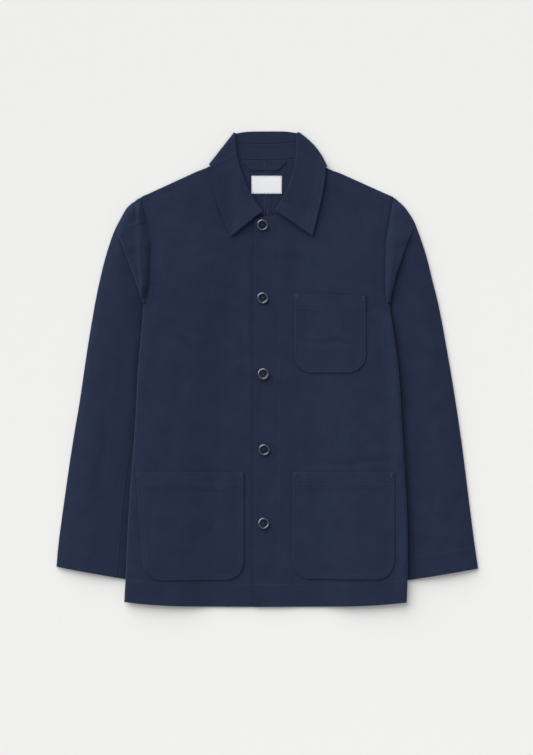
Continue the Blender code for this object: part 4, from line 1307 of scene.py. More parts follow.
# Pockets, the felled seam, the lap and the collar's leaves.
POCKET_AIR = 0.9
POCKET_AIR_FADE = (6, 34)
POCKET_AIR_TOP = 0.55  # share of it at the pocket's mouth
POCKET_RISE = 0.15
FELL_HEIGHT = 1.1
FELL_FADE = (3.4, 6)  # half width of the felled seam
LAP_RISE = 0.7  # the left front's edge curls up by this
LAP_RISE_FADE = (-LAP_EDGE + 14, -LAP_EDGE)
LEAF_RISE = 0.5
LEAF_CROWN = 0.5
LEAF_CROWN_FADE = (8, 26)
LEAF_LOFT_FADE = (24, 0)
LEAF_EDGE_CELLS = 12

# Ridges and grooves along an edge: how far in they lie, half width and height.
RIDGES = {
    "armhole": (5.5, 3.5, 1.1),
    "shoulder": (7, 2.5, 0.5),
    "lap": (-LAP_EDGE - 1, 3, -0.7),
    "leaf": (1.6, 1.6, 0.5),
    "leaf stitches": (LEAF_STITCH, 1.6, -0.4),
}
# Gathers that a row of stitches pulls up, with the same columns.
PUCKERS = {
    "hem": (HEM_STITCH, 6, 0.22),
    "facing": (0, 5, 0.16),
    "armhole": (6, 6, 0.18),
    "shoulder": (8, 6, 0.2),
    "cap": (5, 6, 0.22),
    "cuff": (CUFF_STITCH, 7, 0.3),
    "pocket": (5, 4, 0.16),
    "pocket hem": (0, 5, 0.16),
    "leaf": (6, 4, 0.14),
}
# Uneven waves of the cloth: size from crest to crest, and height.
RIPPLES = {
    "body": ((62, 0.45), (19, 0.14)),
    "sleeve": ((54, 0.4), (17, 0.13)),
}
WANDER = (70, 3)  # creases wander over this length by this much
CREASE_START = (-0.15, 0.3)  # a crease comes and goes over these shares
CREASE_END = (0.7, 1.15)
PUCKER_DRIFTS = ((1.3, 23), (0.9, 9.7))  # their beat's drift, and over what length
PUCKER_STRENGTH = (0.65, 0.35, 31)  # its middle, its swing and the length of that

# The waves that a ripple sums up: heading, stretch and phase of each.
WAVES = ((0.3, 1, 0.4), (1.4, 0.83, 2.1), (2.3, 1.21, 4), (0.9, 0.61, 1.2), (2.9, 0.72, 5.1))
WAVES_GAIN = 1.6


def ripple(x, y, size):
    """Soft uneven waves between about -1 and 1, size mm from crest to crest."""
    total = 0.0
    for heading, stretch, phase in WAVES:
        along = x * cos(heading) + y * sin(heading)
        total = total + np.sin(along * tau / (size * stretch) + phase)
    return total / len(WAVES) * WAVES_GAIN


def ripples(kind, x, y):
    return sum(height * ripple(x, y, size) for size, height in RIPPLES[kind])


def bell(off, width):
    return np.exp(-(off / width) ** 2)


def ridge(kind, off):
    middle, width, height = RIDGES[kind]
    return height * bell(off - middle, width)


def beside(x1, y1, x2, y2, x, y):
    """A segment's length, and how far along it and to its left places lie."""
    length = ((x2 - x1) ** 2 + (y2 - y1) ** 2) ** 0.5
    way_x, way_y = (x2 - x1) / length, (y2 - y1) / length
    along = (x - x1) * way_x + (y - y1) * way_y
    return length, along, (y - y1) * way_x - (x - x1) * way_y


def creases(table, x, y):
    """Sum of a table's ridges and troughs, soft at their sides and ends."""
    total = np.zeros_like(x)
    size, reach = WANDER
    wander = reach * ripple(x, y, size)
    for x1, y1, x2, y2, width, height in table:
        length, along, off = beside(x1, y1, x2, y2, x, y)
        share = along / length
        fade = smoothstep(*CREASE_START, share) * (1 - smoothstep(*CREASE_END, share))
        total += height * fade * bell(off + wander, width)
    return total


def nearest(line, x, y):
    """How far places lie from a line of points, and how far along it."""
    best = np.full_like(x, 1e6)
    reach = np.zeros_like(x)
    run = 0.0
    for (x1, y1), (x2, y2) in zip(line, line[1:]):
        length, reached, aside = beside(x1, y1, x2, y2, x, y)
        along = np.clip(reached, 0, length)
        off = np.hypot(reached - along, aside)
        closer = off < best
        best = np.where(closer, off, best)
        reach = np.where(closer, run + along, reach)
        run += length
    return best, reach


def puckers(kind, off, along):
    """Short uneven gathers that a seam's thread pulls into the cloth beside it."""
    middle, width, height = PUCKERS[kind]
    drift = sum(size * np.sin(along / length) for size, length in PUCKER_DRIFTS)
    beat = np.sin(along * tau / PUCKER_PITCH + drift)
    level, swing, length = PUCKER_STRENGTH
    strength = level + swing * np.sin(along / length + 1)
    return height * beat * strength * bell(off - middle, width)


def turned_cloth(height, off, row, soft=TURNED_SOFT):
    """Thickness of turned cloth, from its edge to its row of stitches."""
    return height * (1 - smoothstep(row + soft[0], row + soft[1], off))


def table_curve(table, y, x):
    """A table's right or left half width at heights y, on the side x is."""
    keys = table.keys
    right = np.interp(y, keys, table.columns["right"])
    left = np.interp(y, keys, table.columns["left"])
    return np.where(x < 0, right, left)


def by_side(values, x):
    return np.where(x < 0, values["right"], values["left"])


def body_edge(x, y):
    """Half width of the body, without the step between its fold and the armhole."""
    below = table_curve(BODY_SIDE, y, x)
    above = table_curve(ARMHOLE, y, x)
    return mix(below, above, smoothstep(*ARMHOLE_STEP, y))


def on_side(side, line):
    """A line of (out, y) points as the (x, y) points of one side."""
    return [(SIGN[side] * out, y) for out, y in line]


def armhole_line(side):
    return on_side(side, [(ARMHOLE.at(side, y) - SEAM / 2, y) for y in ARMHOLE_ROWS])


def body_room(x, y, inward, shoulder, hem):
    """Share of the front's creases that its edges leave room for."""
    side = by_side(SIDE_ROOM, x) * (1 - smoothstep(*ARMHOLE_FADE, y))
    room = mix(side, 1, smoothstep(*SIDE_ROOM_FADE, inward) ** SIDE_ROOM_POWER)
    room = room * smoothstep(*SHOULDER_ROOM_FADE, shoulder - y)
    return room * mix(HEM_ROOM, 1, smoothstep(*HEM_ROOM_FADE, y - hem))


def body_relief(x, y):
    """Rise of the front's cloth: air under it, creases, seams and puckers."""
    out = np.abs(x)
    inward = body_edge(x, y) - out
    shoulder = np.interp(out, SHOULDER_OUT, SHOULDER_Y)
    hem = hem_height(out)
    crown = smoothstep(*BODY_CROWN_INWARD, inward) * smoothstep(*BODY_CROWN_FADE, y)
    rise = BODY_AIR + BODY_CROWN * crown + creases(BODY_CREASES, x, y) + ripples("body", x, y)
    rise = body_room(x, y, inward, shoulder, hem) * np.maximum(rise, BODY_LEAST)
    rise += turned_cloth(HEM_TURNED, y - hem, HEM_STITCH) + puckers("hem", y - hem, x)
    facing = puckers("facing", np.abs(x - FACING_STITCH), y)
    rise += facing * smoothstep(*FACING_PUCKER_FADE, y)
    low, reach = ARMHOLE_NEAR
    for side in SIGN:
        off, along = nearest(armhole_line(side), x, y)
        inside = (x * SIGN[side] < reach) & (y > low)
        near = np.where(inside, smoothstep(*ARMHOLE_NEAR_FADE, off), 0)
        rise += near * (ridge("armhole", off) + puckers("armhole", off, along))
    off = shoulder - y
    gathers = puckers("shoulder", off, out) * smoothstep(*SHOULDER_PUCKER_FADE, off)
    return rise + ridge("shoulder", off) + gathers


def sleeve_relief(x, y):
    """Rise of the sleeves' fronts, from the body's edge to the outer fold."""
    out = np.abs(x)
    inner = body_edge(x, y)
    outer = table_curve(SLEEVE_OUT, y, x)
    span = np.clip((out - inner) / (outer - inner), 0, 1)
    head = smoothstep(*SLEEVE_HEAD_FADE, y)
    air = SLEEVE_AIR * (1 - np.abs(2 * span - 1) ** SLEEVE_ROUND)
    away = smoothstep(*SLEEVE_AWAY, span) * smoothstep(*SLEEVE_AWAY_OUTER, outer - out)
    uneven = creases(SLEEVE_CREASES, x, y) + ripples("sleeve", x, y) + SLEEVE_LIFT
    rise = head * (air + away * np.maximum(uneven, -SLEEVE_LIFT - air))
    seam = out - inner
    beyond = out - table_curve(CAP_RIDGE, y, x)
    full = by_side(CAP_RIDGE_HEIGHT, x) * smoothstep(*CAP_RIDGE_START, seam)
    full = full * (1 - smoothstep(-CAP_RIDGE_SIDE, CAP_RIDGE_SIDE, beyond))
    rise += smoothstep(*CAP_SEAM_FADE, y) * head * (full + puckers("cap", seam, y))
    bulge = smoothstep(*HEAD_BULGE_OUTER, outer - out) * smoothstep(*HEAD_BULGE_SEAM, seam)
    rise += HEAD_BULGE * bulge * head * smoothstep(*HEAD_BULGE_FADE, y)
    up = y - np.interp(out, CUFF_OUT, CUFF_Y)
    rise += turned_cloth(CUFF_TURNED, up, CUFF_STITCH) + puckers("cuff", up, out)
    return np.maximum(rise, 0)


def under_relief(x, y):
    """Rise of every layer over the hollows between the back and the table."""
    return np.maximum(creases(UNDER_CREASES, x, y), 0)


def pocket_relief(shape, x, y):
    """Extra rise of a patch pocket inside its sewn edge."""
    height = shape["top"] - shape["foot"]
    middle = (shape["left"] + shape["right"]) / 2
    off = np.minimum(pocket_half(shape) - np.abs(x - middle), y - shape["foot"])
    top = shape["top"] + shape["slope"] * (x - shape["left"]) - y
    air = POCKET_AIR * mix(1, POCKET_AIR_TOP, smoothstep(0, height, height - top))
    rise = POCKET_RISE + air * smoothstep(*POCKET_AIR_FADE, off)
    hem = shape["hem"]
    rise += turned_cloth(POCKET_TURNED, top, hem[1], POCKET_TURNED_SOFT)
    return rise + puckers("pocket", off, y + x) + puckers("pocket hem", top - sum(hem) / 2, x)


def leaf_outline(side):
    """The outer edge of a collar leaf and its front edge, as (x, y) points."""
    line = []
    for share in steps(0, 1, LEAF_EDGE_CELLS):
        station = leaf_station(side, share)
        line.append(across_leaf(station, station["width"]))
    line.append(leaf_station(side, 1)["roll"])
    return on_side(side, line)


def leaf_relief(x, y):
    """Extra rise of the collar's leaves: a turned edge with stitches in it."""
    rise = np.full_like(x, LEAF_RISE)
    for side in SIGN:
        off, along = nearest(leaf_outline(side), x, y)
        edge = ridge("leaf", off) + ridge("leaf stitches", off) + puckers("leaf", off, along)
        full = LEAF_CROWN * smoothstep(*LEAF_CROWN_FADE, off)
        full = full + LEAF_LOFT * smoothstep(*LEAF_LOFT_FADE, off)
        rise += np.where(x * SIGN[side] > 0, edge + full, 0)
    return rise


def relief(name, x, y):
    """Rise of a piece's upper layers and of its lower ones."""
    lower = under_relief(x, y)
    if name.startswith(("top_sleeve", "under_sleeve")):
        return sleeve_relief(x, y), lower
    upper = body_relief(x, y)
    if name.startswith("back"):
        lower = lower + FELL_HEIGHT * (1 - smoothstep(*FELL_FADE, np.abs(x - FELL_MIDDLE)))
    if name == "front_left":
        upper = upper + LAP_RISE * smoothstep(*LAP_RISE_FADE, x)
    if name == "front_right":
        upper = upper + ridge("lap", x)
    for shape in POCKETS:
        if name == shape["name"]:
            upper = upper + pocket_relief(shape, x, y)
    if name == "collar_leaf":
        upper = upper + leaf_relief(x, y)
    return upper, lower


# -------- finishes

def linear(code, strength=1.0):
    """A #rrggbb colour as the linear RGBA that a shader takes."""
    channels = []
    for place in (1, 3, 5):
        value = int(code[place:place + 2], 16) / 255
        value = value / 12.92 if value <= 0.04045 else ((value + 0.055) / 1.055) ** 2.4
        channels.append(value * strength)
    return (*channels, 1.0)


def set_inputs(node, **values):
    """Sets a node's inputs, or links those that another node's output is given for."""
    for name, value in values.items():
        socket = node.inputs[name.replace("_", " ")]
        if isinstance(value, bpy.types.NodeSocket):
            node.id_data.links.new(value, socket)
        else:
            socket.default_value = value


def add_node(tree, kind, **settings):
    """Adds a shader node and sets its properties and inputs."""
    node = tree.nodes.new("ShaderNode" + kind)
    for name, value in settings.items():
        if hasattr(node, name):
            setattr(node, name, value)
        else:
            set_inputs(node, **{name: value})
    return node


def noise(tree, size, place=None, **settings):
    """Noise with patches of about size mm, over the object if no place is given."""
    place = place or add_node(tree, "TexCoord").outputs["Object"]
    node = add_node(tree, "TexNoise", Vector=place, Scale=1 / (size * MM), **settings)
    return node.outputs["Fac"]


def bands(tree, place, pitch, axis="X", **settings):
    """Soft bands that follow each other along an axis every pitch mm."""
    scale = 1 / (pitch * MM) / WAVE_PERIODS
    node = add_node(tree, "TexWave", Vector=place, wave_type="BANDS",
                    bands_direction=axis, Scale=scale, **settings)
    return node.outputs["Fac"]


def in_range(tree, value, low, high, start=0.0, end=1.0):
    """Maps the stretch of a value from start to end to low to high."""
    node = add_node(tree, "MapRange", Value=value, From_Min=start, From_Max=end,
                    To_Min=low, To_Max=high)
    return node.outputs["Result"]


def two_tone(tree, value, first, last, places=(0.0, 1.0)):
    """A ramp from one colour to another between two places."""
    node = add_node(tree, "ValToRGB", Fac=value)
    for element, place, colour in zip(node.color_ramp.elements, places, (first, last)):
        element.position = place
        element.color = colour
    return node.outputs["Color"]


def combine(tree, operation, first, second):
    node = add_node(tree, "Math", operation=operation)
    tree.links.new(first, node.inputs[0])
    tree.links.new(second, node.inputs[1])
    return node.outputs[0]


def raise_nap(tree, height, strength, depth, **before):
    """A bump of depth mm, on the one before it if a Normal is given."""
    node = add_node(tree, "Bump", Height=height, Strength=strength, Distance=depth * MM,
                    **before)
    return node.outputs["Normal"]


def brushed_cotton_twill(tree, shader, settings):
    """Brushed cotton twill: woven on the slant, then raised to a dull, soft nap.

    The eye sees an even, lightless navy with cloudy patches where the nap lies
    over, faint slanting ribs, fine fibre and a pale bloom towards the edges.
    """
    weave = add_node(tree, "UVMap", uv_map="weave").outputs["UV"]
    cloud = noise(tree, CLOUD_SIZE, weave, Detail=4.0, Roughness=0.62)
    fleck = noise(tree, FLECK_SIZE, weave, Detail=3.0, Roughness=0.6)
    fibre = noise(tree, FIBRE_SIZE, weave, Detail=2.0)
    slant = add_node(tree, "Mapping", Vector=weave, vector_type="POINT",
                     Rotation=(0.0, 0.0, radians(RIB_ANGLE)))
    ribs = bands(tree, slant.outputs["Vector"], RIB_PITCH, Distortion=1.2, Detail=2.0,
                 Detail_Scale=2.5)
    shade = two_tone(tree, cloud, linear(settings.dark), linear(settings.light), CLOUD_PLACES)
    speckle = in_range(tree, fleck, *FLECK_SHADE, *FLECK_STRETCH)
    both = combine(tree, "MULTIPLY", speckle, in_range(tree, ribs, *RIB_SHADE))
    colour = add_node(tree, "VectorMath", operation="SCALE", Vector=shade, Scale=both)
    nap = raise_nap(tree, combine(tree, "ADD", fibre, ribs), settings.nap, NAP_DEPTH)
    pile = raise_nap(tree, cloud, CLOUD_STRENGTH, CLOUD_DEPTH, Normal=nap)
    set_inputs(shader, Base_Color=colour.outputs["Vector"], Normal=pile, Roughness=0.92,
               Specular_IOR_Level=0.25, Sheen_Weight=0.35, Sheen_Roughness=0.45,
               Sheen_Tint=linear("#8f9fd0"))


def spun_polyester_thread(tree, shader, settings):
    """Spun polyester sewing thread: twisted and waxed, so a little brighter."""
    twist = noise(tree, TWIST_SIZE, Detail=2.0)
    shade = two_tone(tree, twist, linear(settings.thread, 0.75), linear(settings.thread, 1.2),
                     (0.35, 0.65))
    set_inputs(shader, Base_Color=shade, Normal=raise_nap(tree, twist, 0.4, THREAD_DEPTH),
               Roughness=0.6, Sheen_Weight=0.15)


def woven_satin(tree, shader, settings):
    """Damask-woven satin label: smooth, white and a little silky."""
    weave = add_node(tree, "UVMap", uv_map="weave").outputs["UV"]
    ends = bands(tree, weave, LABEL_END_PITCH)
    picks = bands(tree, weave, LABEL_PICK_PITCH, "Y")
    threads = combine(tree, "MULTIPLY", ends, picks)
    shade = two_tone(tree, threads, linear(settings.label, 0.86), linear(settings.label))
    set_inputs(shader, Base_Color=shade, Normal=raise_nap(tree, threads, 0.5, THREAD_DEPTH),
               Roughness=0.5, Sheen_Weight=0.2)


def polished_polyester_resin(tree, shader, settings):
    """Cast polyester resin, tumbled to a gloss on the rim: near black, glassy."""
    scuff = noise(tree, SCUFF_SIZE, Detail=2.0)
    set_inputs(shader, Base_Color=linear(settings.resin), IOR=2.35,
               Specular_Tint=linear("#e2eaff"),
               Roughness=in_range(tree, scuff, *SCUFF_ROUGHNESS))


def satin_polyester_resin(tree, shader, settings):
    """The same resin where tumbling doesn't reach, in the dish: dark and dull."""
    cloud = noise(tree, RESIN_CLOUD, Detail=3.0, Distortion=0.8)
    shade = two_tone(tree, cloud, linear(settings.resin, 0.7), linear(settings.resin, 1.6),
                     (0.35, 0.7))
    set_inputs(shader, Base_Color=shade, Roughness=0.42, Specular_IOR_Level=0.14)


def seamless_paper(tree, shader, settings):
    """Seamless paper: smooth, matt and very slightly uneven."""
    grain = noise(tree, PAPER_GRAIN, Detail=3.0)
    shade = two_tone(tree, grain, linear(settings.floor, 0.985), linear(settings.floor))
    set_inputs(shader, Base_Color=shade, Roughness=0.9, Specular_IOR_Level=0.1)


def material_of(maker):
    """The material that a maker's nodes build, which bears the maker's name."""
    material = bpy.data.materials.get(maker.__name__)
    if material is None:
        material = bpy.data.materials.new(maker.__name__)
        material.use_nodes = True
        tree = material.node_tree
        maker(tree, tree.nodes["Principled BSDF"], bpy.context.scene.jacket_finish)
    return material


def finish_piece(obj, maker, slot, *nodes):
    """Gives a piece its material and body, and hides the CAD nodes it stands for."""
    obj.data.materials.clear()
    obj.data.materials.append(material_of(maker))
    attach(obj, "root")
    if nodes:
        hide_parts(*nodes)


# -------- sewing

def surface_tree(piece):
    """The middle surface of a piece of cloth, for finding where its thread lies."""
    bm = bmesh.new()
    bm.from_mesh(bpy.data.objects[piece + "_cloth"].data)
    tree = BVHTree.FromBMesh(bm)
    bm.free()
    return tree


def fall_on(tree, x, y, from_above=True):
    """The point of a surface over or under a place, and the way out from it."""
    down = -1.0 if from_above else 1.0
    start = Vector((x * MM, y * MM, -down * DROP_HEIGHT * MM))
    place, normal, _, _ = tree.ray_cast(start, Vector((0.0, 0.0, down)))
    if place is None:
        return None, None
    if normal.z * down > 0:
        normal = -normal
    return place, normal


def along_line(points, pitch):
    """Evenly spaced (place, heading) pairs along a line of (x, y) points."""
    lengths = [(Vector(far) - Vector(near)).length for near, far in zip(points, points[1:])]
    total = sum(lengths)
    count = max(1, round(total / pitch))
    marks = []
    index, passed = 0, 0.0
    for number in range(count):
        reach = (number + 0.5) * total / count
        while index < len(lengths) - 1 and reach > passed + lengths[index]:
            passed += lengths[index]
            index += 1
        near, far = Vector(points[index]), Vector(points[index + 1])
        way = (far - near).normalized()
        marks.append((near + way * (reach - passed), way))
    return marks


def add_stitch(bm, place, way, up, length, thickness):
    """One stitch of thread: a small bead lying along way."""
    side = up.cross(way).normalized()
    way = side.cross(up).normalized()
    turn = Matrix((way, side, up)).transposed().to_4x4()
    size = Matrix.Diagonal((length / 2 * MM, thickness / 2 * MM, thickness / 2 * MM, 1.0))
    bmesh.ops.create_icosphere(bm, subdivisions=1, radius=1.0,
                               matrix=Matrix.Translation(place) @ turn @ size)


def sew_line(bm, tree, points, wall=CLOTH, pitch=None, length=None, from_above=True, slant=0.0):
    """A row of stitches along (x, y) points, on the upper or under surface."""
    settings = bpy.context.scene.jacket_sewing
    pitch = pitch or settings.pitch / MM
    length = length or pitch * STITCH_SHARE
    for mark, way in along_line(points, pitch):
        place, up = fall_on(tree, mark.x, mark.y, from_above)
        if place is None:
            continue
        heading = Vector((way.x, way.y, 0.0))
        heading.rotate(Euler((0.0, 0.0, slant)))
        proud = STITCH_PROUD if from_above else -STITCH_SUNK
        place = place + up * (wall / 2 + proud) * MM
        add_stitch(bm, place, heading, up, length, settings.thread / MM)


def finish_sewing(name, bm):
    """Makes a piece of the stitches sewn so far."""
    bmesh.ops.recalc_face_normals(bm, faces=bm.faces[:])
    finish_piece(add_piece(name, bm), spun_polyester_thread, "twill")


def hem_points(side):
    """The row above the hem of a front, from its edge to the side."""
    edge = -(LAP_EDGE if side == "left" else LAP_UNDER)
    last = BODY_SIDE.at(side, HEM_MIDDLE + HEM_STITCH) - ROW_END
    return on_side(side, [(out, hem_height(out) + HEM_STITCH) for out in steps(edge, last, 24)])


def pocket_rim(shape, across, up, inset):
    """A place inside a pocket's edge. across is -1 to 1 between the two sides."""
    return pocket_place(shape, across, up, pocket_half(shape) - inset)


def pocket_outline(shape, inset):
    """A line inside a pocket's edge, from one top corner round to the other."""
    top = shape["top"] - shape["foot"] - POCKET_ROW_TOP
    half = pocket_half(shape) - inset
    corner = POCKET_CORNER - inset
    points = [pocket_rim(shape, -1.0, up, inset) for up in steps(top, POCKET_CORNER, 12)]
    for sign in (-1.0, 1.0):
        turns = steps(0.0, pi / 2, 8)[1:] if sign < 0 else steps(pi / 2, 0.0, 8)
        for angle in turns:
            reach = 1 - corner * (1 - cos(angle)) / half
            up = inset + corner * (1 - sin(angle))
            points.append(pocket_rim(shape, sign * reach, up, inset))
    return points + [pocket_rim(shape, 1.0, up, inset)
                     for up in steps(POCKET_CORNER, top, 12)[1:]]


def leaf_rows(side):
    """The row inside a collar leaf's outer and front edges."""
    line = []
    for share in steps(0.0, LEAF_ROW_END, 16):
        station = leaf_station(side, share)
        line.append(across_leaf(station, station["width"] - LEAF_STITCH))
    last = leaf_station(side, 1.0)
    back = (Vector(leaf_station(side, LEAF_ROW_LEAN)["edge"]) - Vector(last["edge"])).normalized()
    for distance in steps(last["width"] - LEAF_STITCH, LEAF_STITCH, 10):
        out, y = across_leaf(last, distance)
        line.append((out + back.x * LEAF_STITCH, y + back.y * LEAF_STITCH))
    return on_side(side, line)


def cuff_rows(side):
    """The row above a cuff, as (piece, points, whether it shows from above)."""
    share = 1 - CUFF_STITCH / (UNDERARM - CUFF_OUTER[side])
    ends = sleeve_share_row(side, share)
    inner, inner_y, outer, _ = ends
    forearm = SLEEVE_LENGTH.at("forearm_" + side, share)
    elbow = outer - SLEEVE_LENGTH.at("elbow", share)
    tucked = side_edge(side, inner_y) - CUFF_TUCK
    for piece, start, end, above in (
            ("top_sleeve_", forearm + ROW_END, outer + CUFF_TURN, True),
            ("under_sleeve_", tucked, forearm - ROW_END, True),
            ("top_sleeve_", elbow + ROW_END, outer + CUFF_TURN, False),
            ("under_sleeve_", inner, elbow - ROW_END, False)):
        line = [(out, on_row(ends, out)) for out in steps(start, end, 8)]
        yield piece + side, on_side(side, line), above


def sleeve_seam(side, seam):
    """The row beside the forearm or elbow seam, down to the cuff."""
    line = []
    for share in steps(*SLEEVE_ROWS_SEEN[seam], 24):
        row = sleeve_share_row(side, share)
        if seam == "elbow":
            out = row[2] - SLEEVE_LENGTH.at("elbow", share) + FOREARM_STITCH
        else:
            out = SLEEVE_LENGTH.at("forearm_" + side, share) + FOREARM_STITCH
        line.append((out, on_row(row, out)))
    return on_side(side, line)


# -------- buttons

def button_blank():
    """A turned button: flat foot, rounded rim and a dished middle."""
    bm = bmesh.new()
    before = bm.verts.new((0.0, 0.0, 0.0))
    for radius, height in BUTTON_PROFILE:
        corner = bm.verts.new((radius * BUTTON_RADIUS * MM, 0.0, height * BUTTON_HEIGHT * MM))
        bm.edges.new((before, corner))
        before = corner
    bmesh.ops.spin(bm, geom=bm.verts[:] + bm.edges[:], cent=(0, 0, 0), axis=(0, 0, 1),
                   angle=tau, steps=BUTTON_SEGMENTS, use_merge=True)
    bmesh.ops.remove_doubles(bm, verts=bm.verts[:], dist=1e-6)
    bmesh.ops.recalc_face_normals(bm, faces=bm.faces[:])
    return bm


def drill(blank):
    """Cuts the four holes out of a blank."""
    bm = bmesh.new()
    for quarter in range(4):
        angle = pi / 4 + quarter * pi / 2
        place = Vector((cos(angle), sin(angle), 0.0)) * BUTTON_HOLE_RING * MM
        bmesh.ops.create_cone(
            bm, cap_ends=True, segments=16, radius1=BUTTON_HOLE * MM, radius2=BUTTON_HOLE * MM,
            depth=4 * BUTTON_HEIGHT * MM, matrix=Matrix.Translation(place))
    drills = add_piece("drills", bm)
    cut = blank.modifiers.new("holes", "BOOLEAN")
    cut.operation = "DIFFERENCE"
    cut.object = drills
    graph = bpy.context.evaluated_depsgraph_get()
    mesh = bpy.data.meshes.new_from_object(blank.evaluated_get(graph))
    blank.modifiers.clear()
    blank.data = mesh
    bpy.data.objects.remove(drills, do_unlink=True)


def sit_on_front(x, y):
    """Height of the cloth's upper surface under a button, at its highest."""
    tree = surface_tree("front_left")
    heights = []
    for angle in steps(0.0, tau, 12)[1:]:
        place, _ = fall_on(tree, x + cos(angle) * BUTTON_SEAT, y + sin(angle) * BUTTON_SEAT)
        if place is not None:
            heights.append(place.z / MM)
    return max(heights) + CLOTH / 2


def button_thread(x, y, height, turn):
    """A cross of two double stitches through a button's holes."""
    bm = bmesh.new()
    thickness = bpy.context.scene.jacket_sewing.thread / MM * BUTTON_THREAD
    for quarter in (0, 1):
        angle = pi / 4 + quarter * pi / 2 + turn
        way = Vector((cos(angle), sin(angle), 0.0))
        for offset in (-BUTTON_THREAD_APART, BUTTON_THREAD_APART):
            side = Vector((-way.y, way.x, 0.0)) * offset
            place = Vector((x, y, height + BUTTON_THREAD_CROSS * quarter)) + side
            add_stitch(bm, place * MM, way, Vector((0, 0, 1)),
                       2 * BUTTON_HOLE_RING + BUTTON_THREAD_END, thickness)
    return bm


def make_button(number, x, y, turn, over, across):
    name = "button_%d" % number
    blank = add_piece(name + "_resin", button_blank())
    drill(blank)
    mesh = blank.data
    mesh.transform(Matrix.Rotation(turn, 4, "Z"))
    in_dish = [face.center.xy.length < BUTTON_DISH * BUTTON_RADIUS * MM for face in mesh.polygons]
    tilt = Euler((radians(over), radians(across), 0.0)).to_matrix().to_4x4()
    steepest = radians(max(abs(over), abs(across)))
    height = sit_on_front(x, y) + SEAM + BUTTON_RADIUS * sin(steepest) / 2
    mesh.transform(Matrix.Translation(Vector((x, y, height)) * MM) @ tilt)
    mesh.shade_smooth()
    mesh.set_sharp_from_angle(angle=radians(50))
    finish_piece(blank, polished_polyester_resin, "resin", name)
    mesh.materials.append(material_of(satin_polyester_resin))
    for face, inside in zip(mesh.polygons, in_dish):
        face.material_index = int(inside)
    top = height + BUTTON_THREAD_TOP * BUTTON_HEIGHT
    finish_sewing(name + "_thread", button_thread(x, y, top, turn))


# -------- settings

class JacketCloth(bpy.types.PropertyGroup):
    """Sizes of the cloth."""

    cell: FloatProperty(
        name="Cell", description="Size of the cloth's mesh cells",
        default=0.0029, min=0.0015, max=0.01, unit="LENGTH")
    crease: FloatProperty(
        name="Crease", description="Share of the creases' full height",
        default=1.0, min=0.0, max=2.0, subtype="FACTOR")


class JacketSewing(bpy.types.PropertyGroup):
    """Sizes of the stitches."""

    pitch: FloatProperty(
        name="Stitch pitch", description="Length of one stitch with its gap",
        default=0.0033, min=0.001, max=0.01, unit="LENGTH")
    thread: FloatProperty(
        name="Thread", description="Thickness of the sewing thread",
        default=0.00062, min=0.0002, max=0.002, unit="LENGTH")


class JacketFinish(bpy.types.PropertyGroup):
    """Colours of the cloth, thread, label, buttons and backdrop."""

    dark: StringProperty(
        name="Twill, shaded nap", description="Colour of the darker patches", default="#1a233a")
    light: StringProperty(
        name="Twill, lit nap", description="Colour of the paler patches", default="#1d2740")
    thread: StringProperty(
        name="Thread", description="Colour of the sewing thread", default="#1e2842")
    label: StringProperty(
        name="Label", description="Colour of the neck label", default="#f3f4f8")
    resin: StringProperty(
        name="Buttons", description="Colour of the buttons", default="#111827")
    floor: StringProperty(
        name="Backdrop", description="Colour of the paper under the jacket", default="#efefee")
    nap: FloatProperty(
        name="Nap", description="Strength of the twill's fine relief",
        default=0.5, min=0.0, max=1.0, subtype="FACTOR")


class JacketStage(bpy.types.PropertyGroup):
    """Camera and lights."""

    camera_place: FloatVectorProperty(
        name="Camera", description="Where the camera stands",
        default=(-0.001, -0.0132, 3.2), subtype="TRANSLATION")
    lens: FloatProperty(
        name="Lens", description="Focal length of the camera, in millimetres",
        default=92.5, min=20.0, max=300.0)
    key_power: FloatProperty(
        name="Key light", description="Soft light from beyond the right shoulder, in W/m2",
        default=3.3, min=0.0)
    key_spread: FloatProperty(
        name="Key spread", description="How wide the key light looks, in degrees",
        default=68.0, min=0.0, max=180.0)
    gloss_power: FloatProperty(
        name="Gloss light", description="Power of the small light that the buttons mirror",
        default=4.0, min=0.0, unit="POWER")
    fill: FloatProperty(
        name="Fill light", description="Brightness of the light from all round",
        default=0.42, min=0.0)


# -------- operators

def sew_panel(name, side, grid, share, cut, slot="twill",
              wall=CLOTH, maker=brushed_cotton_twill):
    settings = bpy.context.scene.jacket_cloth
    obj = make_cloth(name, side, grid, settings.crease, settings.cell / MM * share, wall)
    finish_piece(obj, maker, slot, name)
    width, length, area = cut


class JACKET_OT_backs(bpy.types.Operator):
    """Lays the two back panels, whose sides are folded behind the fronts"""

    bl_idname = "jacket.backs"
    bl_label = "Back panels"

    def execute(self, context):
        for side in SIGN:
            sew_panel("back_" + side, side, back_panel(side), BACK_SHARE, BACK_CUT)
        return {"FINISHED"}


class JACKET_OT_sleeves(bpy.types.Operator):
    """Lays the sleeves, each of a top and an under piece"""

    bl_idname = "jacket.sleeves"
    bl_label = "Sleeves"

    def execute(self, context):
        for side in SIGN:
            sew_panel("under_sleeve_" + side, side, under_sleeve(side), UNDER_SHARE,
                      UNDER_SLEEVE_CUT)
            sew_panel("top_sleeve_" + side, side, top_sleeve(side), SLEEVE_SHARE,
                      TOP_SLEEVE_CUT)
        return {"FINISHED"}


class JACKET_OT_fronts(bpy.types.Operator):
    """Lays the two fronts, the left one over the right one"""

    bl_idname = "jacket.fronts"
    bl_label = "Fronts"

    def execute(self, context):
        for side in SIGN:
            sew_panel("front_" + side, side, front_panel(side), FRONT_SHARE, FRONT_CUT)
        return {"FINISHED"}


